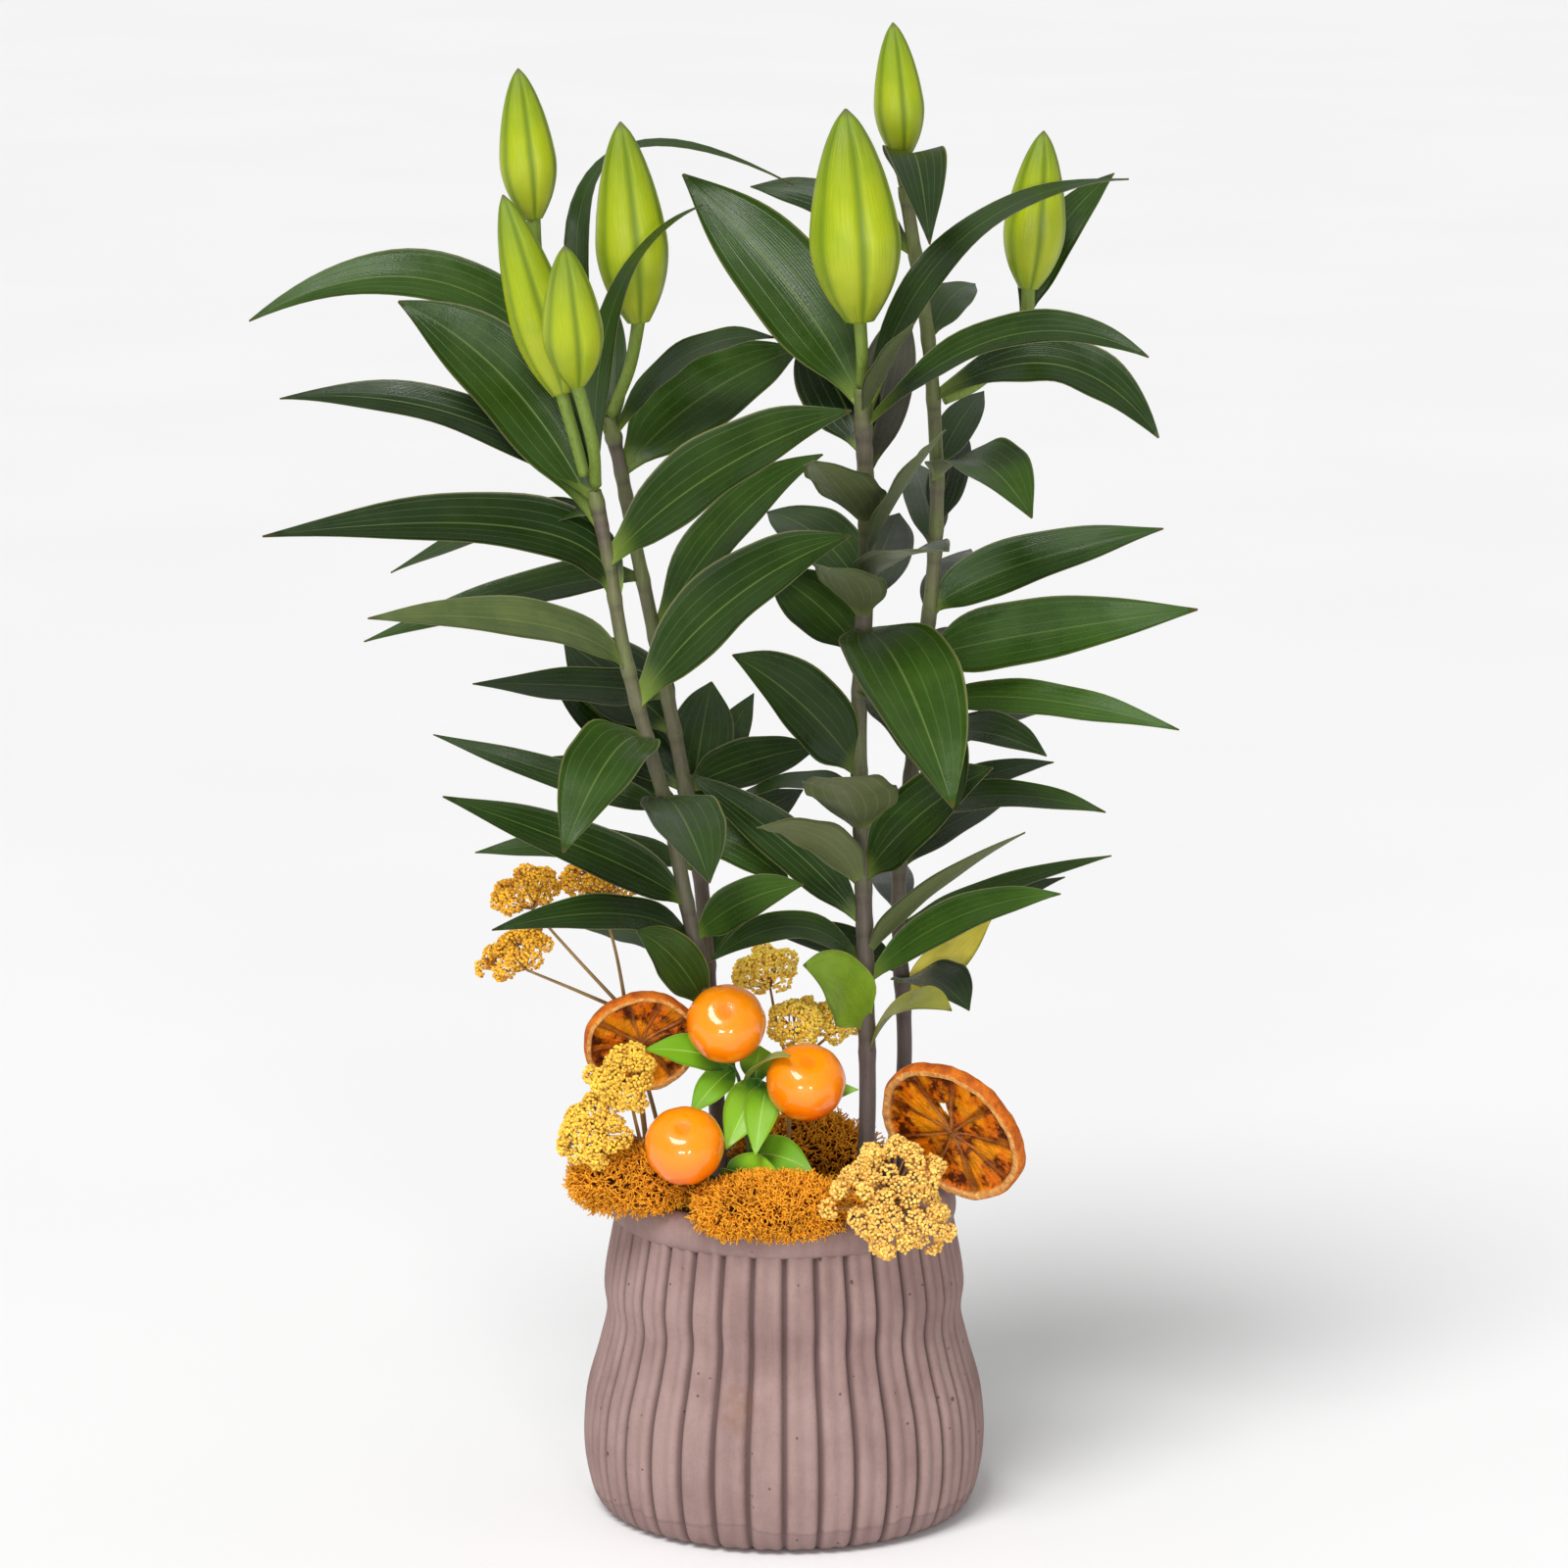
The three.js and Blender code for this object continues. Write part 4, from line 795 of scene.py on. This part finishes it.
def add_tufts(shape, starts, ways, draws):
    """Adds threads that fork again and again from their starts, thinner towards the tips and painted from shade at
    the first forks to highlight at the tips
    """
    light, dark = linear("moss_highlight"), linear("moss_shade")
    for depth in range(MOSS_FORKS + 1):
        ends = starts + ways * (draws.uniform(1.8, 3.2, (len(starts), 1)) * (1 - 0.1 * depth))
        kept = ends[:, 2] > lip_height(ends)
        starts, ends, ways = starts[kept], ends[kept], ways[kept]
        # Painted shade on the inner threads and painted highlight at the tips, with random tone
        share = (depth + 0.6) / (MOSS_FORKS + 1)
        mix = np.clip(share + draws.normal(0, 0.14, len(starts)), 0, 1)[:, None]
        add_threads(shape, starts, ends, 0.52 - 0.05 * depth, dark * (1 - mix) + light * mix)
        if depth == MOSS_FORKS:
            break
        side = unit(np.cross(ways, draws.normal(0, 1, ways.shape)))
        first, second = (draws.uniform(0.5, 1.25, (len(ways), 1)) for _ in range(2))
        ways = np.concatenate([unit(ways + side * first), unit(ways - side * second)])
        starts = np.concatenate([ends, ends])


def add_threads(shape, starts, ends, radius, tints):
    """Adds straight three-sided threads, each from its start to its end"""
    way = unit(ends - starts)
    across = unit(np.cross(way, np.where(np.abs(way[:, 2:]) < 0.8, [[0.0, 0, 1]], [[1.0, 0, 0]])))
    side = np.cross(way, across)
    rings = ((starts, radius), (ends, 0.8 * radius))
    points = np.stack([centre + width * (across * math.cos(angle) + side * math.sin(angle))
                       for centre, width in rings for angle in around(3)], axis=1)
    number = (np.arange(len(starts)) * 6)[:, None, None]
    quads = np.array([(0, 1, 4, 3), (1, 2, 5, 4), (2, 0, 3, 5)]) + number
    shape.add(points, [quads.reshape(-1, 4), (np.array([[3, 4, 5]]) + number).reshape(-1, 3)],
              np.repeat(tints, 6, axis=0))


# Pot and soil


def build_pot(material):
    """The fluted pot with its rolled lip, a flat foot and a plain inside"""
    share, depth = np.array(FLUTE_ROWS).T
    angles = (np.arange(FLUTES)[:, None] + share).ravel() / FLUTES * 2 * np.pi
    depths = np.tile(depth, FLUTES)
    profile = smooth_line(POT_BODY, 8)
    profile[0, 0] -= FOOT_ROUNDING
    shape = Shape()
    # The first form value is each point's depth in its groove, which the concrete material paints as shade
    shape.add(lathed(profile[:, :1] - depths, profile[:, 1:], angles + FRONT),
              tube_faces(len(profile), len(angles))[:2],
              form=form_values(depths / GROOVE_DEPTH, np.zeros((len(profile), 1)), 0))
    add_lip(shape)
    add_lathed(shape, smooth_line(POT_INSIDE, 6), 96)
    shape.finish("fluted_pot", [material], "concrete", "pot")


def add_lathed(shape, profile, sides, radial=0.0, lengthwise=0.0):
    """Adds an open surface turned around the pot's axis, with uneven radii and heights where they are given"""
    points = lathed(profile[:, :1] + radial, profile[:, 1:] + lengthwise, around(sides) + FRONT)
    shape.add(points, tube_faces(len(profile), sides)[:1])


def add_lip(shape):
    """Adds the rolled lip, a little uneven as if formed by hand"""
    sides = 180
    turn = around(sides)
    profile = smooth_line(POT_LIP, 5)
    uneven = 0.35 * np.sin(3 * turn + 1) + 0.25 * np.sin(7 * turn) + 0.15 * np.sin(13 * turn + 2)
    weight = np.clip((profile[:, 1:] - 125) / 10, 0, 1)
    add_lathed(shape, profile, sides, 0.5 * uneven * (profile[:, :1] > 66), 0.45 * uneven * weight)


def soil_height(radius):
    return SOIL_TOP + np.interp(radius, *np.array(SOIL_MOUND).T)


def build_soil(material):
    """Dark crumbly soil with a lumpy top that fills the pot"""
    draws = np.random.default_rng(2)
    shape = Shape()
    rows, sides, count = 56, 150, 900
    radii = np.linspace(0.3, 63.6, rows)
    top = np.column_stack([radii, soil_height(radii)])
    add_lathed(shape, top, sides, lengthwise=draws.normal(0, 0.55, (rows, sides)))
    add_lathed(shape, np.array(SOIL_SIDE), sides)
    distance = 60 * np.sqrt(draws.random(count))
    angle = draws.uniform(0, 2 * np.pi, count)
    centres = lathed(distance, soil_height(distance) + 0.4, angle)
    shade = draws.uniform(0.6, 1.9, (count, 1))
    add_grains(shape, centres, draws.uniform(0.5, 1.7, count), np.ones((count, 3)) * shade, draws)
    shape.finish("crumbly_soil", [material], "soil", "soil")


# Node materials


class Nodes:
    """Short calls that add nodes to one material"""

    def __init__(self, name, roughness, specular):
        self.material = bpy.data.materials.new(name)
        self.material.use_nodes = True
        self.tree = self.material.node_tree
        self.shader = self.tree.nodes["Principled BSDF"]
        self.shader.inputs["Roughness"].default_value = roughness
        self.shader.inputs["Specular IOR Level"].default_value = specular

    def node(self, kind, plugs, **settings):
        """A new node, with a value or a socket for each of the named or numbered sockets"""
        node = self.tree.nodes.new(kind)
        for key, value in settings.items():
            setattr(node, key, value)
        for key, value in plugs.items():
            self.plug(node.inputs[key], value)
        return node

    def plug(self, socket, value):
        if isinstance(value, bpy.types.NodeSocket):
            self.tree.links.new(value, socket)
        else:
            socket.default_value = value

    def tint(self):
        return self.node("ShaderNodeAttribute", {}, attribute_name="tint").outputs["Color"]

    def form(self):
        return self.split(self.node("ShaderNodeAttribute", {}, attribute_name="form").outputs["Vector"])

    def position(self, scale=None):
        """Place on the piece, stretched where a scale is given"""
        place = self.node("ShaderNodeTexCoord", {}).outputs["Object"]
        return self.node("ShaderNodeMapping", {"Vector": place, "Scale": scale}).outputs[0] if scale else place

    def split(self, vector):
        return self.node("ShaderNodeSeparateXYZ", {0: vector}).outputs

    def join(self, x, y, z):
        return self.node("ShaderNodeCombineXYZ", {0: x, 1: y, 2: z}).outputs[0]

    def math(self, operation, first, second=0.0):
        return self.node("ShaderNodeMath", {0: first, 1: second}, operation=operation).outputs[0]

    def times(self, first, second):
        return self.math("MULTIPLY", first, second)

    def total(self, *parts):
        """Sum of values, each times its weight"""
        result = None
        for value, weight in parts:
            value = value if weight == 1 else self.times(value, weight)
            result = value if result is None else self.math("ADD", result, value)
        return result

    def noise(self, scale, detail, roughness, vector=None):
        return self.node("ShaderNodeTexNoise", {
            "Vector": vector or self.position(), "Scale": scale, "Detail": detail, "Roughness": roughness,
        }).outputs["Fac"]

    def cells(self, scale, output="Distance"):
        return self.node("ShaderNodeTexVoronoi", {"Vector": self.position(), "Scale": scale}).outputs[output]

    def span(self, value, low, high, to_low=0.0, to_high=1.0):
        return self.node("ShaderNodeMapRange", {
            "Value": value, "From Min": low, "From Max": high, "To Min": to_low, "To Max": to_high,
        }, interpolation_type="SMOOTHSTEP").outputs[0]

    def mix(self, share, first, second, blend="MIX"):
        """Mix of two colours, each a socket or three linear values"""
        node = self.node("ShaderNodeMix", {}, data_type="RGBA", blend_type=blend)
        sockets = [socket for socket in node.inputs if socket.enabled]
        self.plug(sockets[0], share)
        for socket, value in zip(sockets[1:], (first, second)):
            self.plug(socket, value if isinstance(value, bpy.types.NodeSocket) else (*value, 1))
        return next(socket for socket in node.outputs if socket.enabled)

    def layers(self, color, *steps):
        """A colour with others over it, each with its share; each is a socket or three values of 0 to 255"""
        color = linear(color) if isinstance(color, tuple) else color
        for share, over in steps:
            color = self.mix(share, color, linear(over) if isinstance(over, tuple) else over)
        return color

    def scaled(self, color, factors):
        return self.mix(1.0, color, factors, "MULTIPLY")

    def bump(self, height, strength, distance):
        return self.node("ShaderNodeBump", {
            "Strength": strength, "Distance": distance, "Height": height}).outputs[0]

    def done(self, color, normal=None, roughness=None):
        for name, value in (("Base Color", color), ("Normal", normal), ("Roughness", roughness)):
            if value is not None:
                self.plug(self.shader.inputs[name], value)
        return self.material


def leaf_material():
    """Dark satin leaf with pale parallel veins, a pale edge and base, and a dull grey-green underside"""
    n = Nodes("lily_leaf", 0.34, 0.36)
    u, v, below = n.form()
    tint = n.tint()
    off = n.math("ABSOLUTE", u)
    veins = n.span(n.math("PINGPONG", off, 0.135), 0.004, 0.019, 1, 0)
    streaks = n.noise(6, 3, 0.6, n.join(n.times(u, 6.0), n.times(v, 1.2), below))
    patches = n.noise(55, 3, 0.55)
    petiole = n.span(v, 0.02, 0.17, 0.75, 0)
    vein, under = (146, 168, 90), (98, 106, 68)
    upper = n.layers(
        tint,
        (n.span(patches, 0.3, 0.7, 0.0, 0.5), n.scaled(tint, (1.8, 1.7, 1.4))),
        (n.span(streaks, 0.35, 0.7, 0.0, 0.4), n.scaled(tint, (0.55, 0.6, 0.5))),
        (n.times(veins, 0.13), vein),
        (n.times(n.span(off, 0.01, 0.045, 1, 0), 0.2), vein),
        (petiole, (128, 150, 62)),
        (n.span(off, 0.93, 0.99, 0, 0.55), (150, 150, 96)),
        (n.span(v, 0.975, 1.0, 0, 0.5), (122, 92, 48)))
    dull = n.layers(tint, (0.5, under), (0.6, under), (n.times(veins, 0.35), (140, 142, 110)),
                    (petiole, (128, 142, 70)))
    relief = n.total((veins, -0.5), (n.math("PINGPONG", off, 0.03), 8.0), (n.noise(700, 2, 0.6), 0.35),
                     (patches, 0.6))
    return n.done(n.layers(upper, (n.math("GREATER_THAN", below, 0.5), dull)), n.bump(relief, 0.35, 0.0006),
                  n.total((n.span(patches, 0.3, 0.7, 0.24, 0.4), 1), (below, 0.2)))


def small_leaf_material():
    """Lime leaf of the sprig with a darker base and a fine midrib"""
    n = Nodes("sprig_leaf", 0.4, 0.5)
    u, v, below = n.form()
    off = n.math("ABSOLUTE", u)
    middle = n.span(off, 0.012, 0.05, 1, 0)
    patches = n.noise(120, 3, 0.6)
    color = n.layers(
        n.tint(),
        (n.times(n.span(v, 0.1, 0.55, 1, 0), n.span(patches, 0.35, 0.6, 0.3, 1)), (36, 96, 28)),
        (n.times(middle, 0.6), (186, 220, 110)),
        (n.times(below, 0.45), (150, 178, 84)),
        (n.span(off, 0.9, 0.99, 0, 0.5), (176, 212, 90)))
    relief = n.total((middle, -0.6), (patches, 0.5))
    return n.done(color, n.bump(relief, 0.3, 0.0005), n.span(patches, 0.3, 0.7, 0.34, 0.5))


def stem_material():
    """Stem skin: its colours from foot to top, with fine lengthwise streaks and specks"""
    n = Nodes("stem_skin", 0.55, 0.4)
    tint = n.tint()
    streaks = n.noise(1, 3, 0.6, n.position((900, 900, 60)))
    specks = n.noise(420, 2, 0.7)
    color = n.layers(
        tint,
        (n.span(streaks, 0.35, 0.7, 0, 0.5), n.scaled(tint, (1.5, 1.5, 1.35))),
        (n.span(specks, 0.6, 0.72, 0, 0.5), n.scaled(tint, (0.5, 0.48, 0.5))))
    return n.done(color, n.bump(n.total((streaks, 0.7), (specks, 0.5)), 0.4, 0.0006))


def bud_material():
    """Yellow-green bud: a darker line down each outer petal, painted shade along the seams between petals, fine
    ribs, and a greyer green towards its tip
    """
    n = Nodes("bud_skin", 0.36, 0.34)
    across, v, turn = n.form()
    lines = n.noise(3, 3, 0.6, n.join(n.times(turn, 14.0), n.times(v, 1.5), 0.0))
    patches = n.noise(45, 2, 0.5)
    color = n.layers(
        (168, 174, 42),
        (n.span(v, 0.0, 0.5), (156, 172, 4)),
        (n.span(v, 0.5, 0.97, 0, 0.9), (92, 120, 30)),
        (n.span(lines, 0.4, 0.62, 0, 0.4), (182, 192, 36)),
        (n.span(patches, 0.4, 0.7, 0, 0.45), (122, 152, 4)),
        (n.span(across, 0.0, 0.2, 0.8, 0), (92, 118, 10)),
        # Painted shade along the seams between petals
        (n.span(across, 0.7, 1.0, 0, 0.6), (88, 118, 14)),
        (n.times(n.span(v, 0.0, 0.16, 0.8, 0), n.span(lines, 0.42, 0.58)), (112, 138, 40)),
        (n.span(v, 0.95, 1.0, 0, 0.85), (98, 94, 58)))
    relief = n.total((lines, 1), (n.noise(900, 2, 0.6), 0.15))
    return n.done(color, n.bump(relief, 0.35, 0.0007), n.span(patches, 0.3, 0.7, 0.3, 0.44))


def mandarin_material():
    """Glossy orange skin: deeper towards the back, with fine dimples, faint mottling and painted shade in the
    dimple on top
    """
    n = Nodes("mandarin_skin", 0.2, 0.3)
    x, y, z = n.form()
    mottle = n.noise(60, 3, 0.55)
    # Painted shade in the hollow of the dimple on top
    dimple = n.span(n.math("ADD", n.times(x, x), n.times(y, y)), 0.0, 0.08, 0.3, 0)
    color = n.layers(
        (246, 98, 0),
        (n.span(z, -0.5, 0.75), (255, 146, 0)),
        (n.span(mottle, 0.35, 0.7, 0, 0.4), (255, 128, 0)),
        (n.times(dimple, n.span(z, 0.3, 0.7)), (214, 92, 6)))
    relief = n.total((n.span(n.cells(620), 0.0, 0.35), 1), (mottle, 1.5))
    for name, value in (("Coat Weight", 0.8), ("Coat Roughness", 0.05), ("Subsurface Weight", 0.06),
                        ("Subsurface Radius", (0.004, 0.0015, 0.0005))):
        n.shader.inputs[name].default_value = value
    return n.done(color, n.bump(relief, 0.22, 0.0004), n.span(mottle, 0.3, 0.7, 0.24, 0.34))


def slice_material():
    """Dried orange slice: dimpled rind, cream pith, dark amber flesh in segments with pale thin walls"""
    n = Nodes("dried_orange", 0.4, 0.28)
    share, wall, part = n.form()
    fibre = n.noise(150, 4, 0.7)
    grain = n.noise(420, 3, 0.65)
    pith = n.layers((206, 136, 66), (n.span(grain, 0.35, 0.7), (238, 186, 110)))
    rind = n.layers((168, 76, 10), (n.span(fibre, 0.35, 0.65), (218, 116, 20)))
    color = n.layers(
        (78, 26, 0),
        (n.span(fibre, 0.42, 0.58), (220, 110, 4)),
        (n.span(n.noise(70, 2, 0.6), 0.46, 0.6, 0, 0.7), (250, 156, 16)),
        (n.span(part, 0.3, 0.95, 0, 0.7), (86, 30, 2)),
        (n.span(share, 0.05, 0.3, 0.7, 0), (92, 44, 14)),
        (n.times(wall, n.span(share, 0.2, 0.75, 0.75, 0.2)), (196, 124, 60)),
        (n.span(share, 0.87, 0.9), pith),
        (n.span(share, 0.955, 0.985), rind))
    relief = n.total((fibre, 2.0), (n.span(n.cells(900), 0.0, 0.4), 0.5), (grain, 1))
    return n.done(color, n.bump(relief, 0.6, 0.0009), n.span(share, 0.82, 0.88, 0.3, 0.75))


def dry_material(name, roughness, scale, lift=(1.3, 1.28, 1.2), drop=(0.6, 0.55, 0.5)):
    """Dry plant matter: its own colour, broken up finely lighter and darker"""
    n = Nodes(name, roughness, 0.25)
    tint = n.tint()
    fine = n.noise(scale, 3, 0.65)
    color = n.layers(
        tint,
        (n.span(fine, 0.4, 0.7, 0, 0.6), n.scaled(tint, lift)),
        (n.span(n.noise(scale / 4, 2, 0.5), 0.5, 0.7, 0, 0.5), n.scaled(tint, drop)))
    return n.done(color, n.bump(fine, 0.5, 0.0006))


def soil_material():
    """Dark potting soil with lighter bits of bark"""
    n = Nodes("potting_soil", 0.95, 0.15)
    shade = n.split(n.cells(230, "Color"))[0]
    color = n.layers((30, 20, 14), (n.span(shade, 0.1, 0.95), (78, 52, 36)))
    return n.done(n.scaled(color, n.tint()), n.bump(n.noise(300, 4, 0.7), 0.8, 0.0015))


def concrete_material():
    """Matt mauve-grey concrete with soft clouds, pinholes, painted shade in the grooves, a stain and a mould band
    """
    n = Nodes("mauve_concrete", 0.88, 0.22)
    groove = n.form()[0]
    x, y, z = n.split(n.position())
    clouds = n.noise(26, 5, 0.6)
    fine = n.noise(650, 4, 0.7)
    streaks = n.noise(1, 4, 0.6, n.position((160, 160, 30)))

    # Band at the foot, with a thin line along its uneven upper edge
    edge = n.total((z, 1), (n.math("SUBTRACT", n.noise(30, 3, 0.6), 0.5), 0.016))
    band = n.times(n.span(edge, 0.010, 0.0125, 1, 0), n.span(clouds, 0.35, 0.6, 0.2, 0.75))
    line = n.times(n.span(edge, 0.0102, 0.0114), n.span(edge, 0.0114, 0.0128, 1, 0))

    # Brown stain on the front, 8 mm by 12 mm about its middle
    near_x = n.math("DIVIDE", n.math("ADD", x, 0.019), 0.008)
    near_z = n.math("DIVIDE", n.math("SUBTRACT", z, 0.062), 0.012)
    near = n.math("ADD", n.times(near_x, near_x), n.times(near_z, near_z))
    spot = n.times(n.span(near, 0.2, 1.6, 1, 0), n.span(n.noise(90, 3, 0.6), 0.35, 0.65))
    spot = n.times(spot, n.math("LESS_THAN", y, 0.0))

    def pinholes(scale, width, channel, low, high):
        """Round holes in some of the cells of a pattern"""
        some = n.span(n.split(n.cells(scale, "Color"))[channel], low, high)
        return n.times(n.span(n.cells(scale), 0.05, width, 1, 0), some)

    holes = n.math("MAXIMUM", pinholes(170, 0.12, 0, 0.72, 0.76), pinholes(75, 0.095, 1, 0.78, 0.8))
    color = n.layers(
        (138, 112, 108),
        (n.span(clouds, 0.32, 0.68), (158, 132, 127)),
        (n.span(streaks, 0.4, 0.72, 0, 0.35), (168, 143, 138)),
        (n.span(fine, 0.5, 0.75, 0, 0.25), (122, 97, 94)),
        # Painted shade: darker the deeper the groove
        (n.span(groove, 0.2, 1.0, 0, 0.8), (84, 66, 64)),
        (n.times(band, 0.55), (118, 98, 98)),
        (n.times(line, 0.3), (98, 80, 80)),
        (n.times(spot, 0.4), (126, 90, 66)),
        (n.times(holes, 0.7), (70, 54, 52)))
    relief = n.total((holes, -2.5), (fine, 0.5), (clouds, 0.8))
    return n.done(color, n.bump(relief, 0.5, 0.0012), n.span(clouds, 0.3, 0.7, 0.82, 0.95))


# Floor, light and camera


def build_stage():
    bpy.ops.mesh.primitive_plane_add(size=60, location=(0, 0, 0))
    floor = bpy.context.object
    floor.name = "floor"
    n = Nodes("pale_floor", 0.7, 0.2)
    color = n.mix(n.span(n.noise(3, 2, 0.5), 0.3, 0.7), (0.955, 0.955, 0.955), (0.97, 0.97, 0.97))
    floor.data.materials.append(n.done(color))
    world = bpy.data.worlds.new("studio")
    world.use_nodes = True
    background = world.node_tree.nodes["Background"]
    background.inputs["Color"].default_value = (1, 1, 1, 1)
    background.inputs["Strength"].default_value = 0.42
    bpy.context.scene.world = world
    sun = bpy.data.lights.new("key", "SUN")
    sun.angle = math.radians(26)
    add_light("key", sun, 2.25, (0.3, 0.66, -0.92))
    for name, place, size, power in (("front_left", (-0.5, -2.8, 0.62), 0.42, 14),
                                     ("front_right", (0.55, -2.8, 0.7), 0.36, 12)):
        data = bpy.data.lights.new(name, "AREA")
        data.size = size
        add_light(name, data, power, Vector((0, 0, 0.3)) - Vector(place)).location = place


def add_light(name, data, power, way):
    """A light that shines in a direction"""
    data.energy = power
    light = linked(name, data)
    light.rotation_euler = Vector(way).to_track_quat("-Z", "Y").to_euler()
    return light


def build_camera():
    data = bpy.data.cameras.new("camera")
    data.sensor_width = SENSOR_WIDTH
    data.lens = FOCAL_PIXELS / PHOTO_PIXELS * SENSOR_WIDTH
    data.clip_start = 0.1
    data.clip_end = 30
    camera = linked("camera", data)
    camera.location = CAMERA_PLACE
    camera.rotation_euler = (math.radians(90 - CAMERA_TILT), 0, 0)
    bpy.context.scene.camera = camera


# The whole scene

build_camera()
build_stage()
bpy.context.scene.view_settings.view_transform = "Standard"

leaf_skin = leaf_material()
stem_skin = stem_material()
twig_skin = dry_material("dry_twig", 0.8, 300.0)
floret_skin = dry_material("dry_floret", 0.9, 420.0, lift=(1.4, 1.32, 1.1), drop=(0.8, 0.72, 0.55))
moss_skin = dry_material("dyed_moss", 0.95, 240.0)

build_pot(concrete_material())
build_soil(soil_material())
for name in STEMS:
    build_stem(name, [leaf_skin, stem_skin])
bud_skin = bud_material()
for name in BUDS:
    build_bud(name, [bud_skin, stem_skin, leaf_skin])
mandarin_skin = mandarin_material()
for name in MANDARINS:
    build_mandarin(name, mandarin_skin)
build_sprig([small_leaf_material(), stem_skin])
slice_skins = [slice_material(), dry_material("raw_pick", 0.8, 350.0)]
for name in SLICES:
    build_slice(name, slice_skins)
for order, (name, spray) in enumerate(YARROW.items()):
    build_yarrow(name, spray, [twig_skin], np.random.default_rng(60 + order))
    for number, head in enumerate(spray["heads"], 1):
        build_head(f"yarrow_{name}_head_{number}", head, spray["look"], 10 * order + number,
                   [floret_skin, twig_skin])
for name, lump in MOSS.items():
    build_moss(name, lump, [moss_skin])
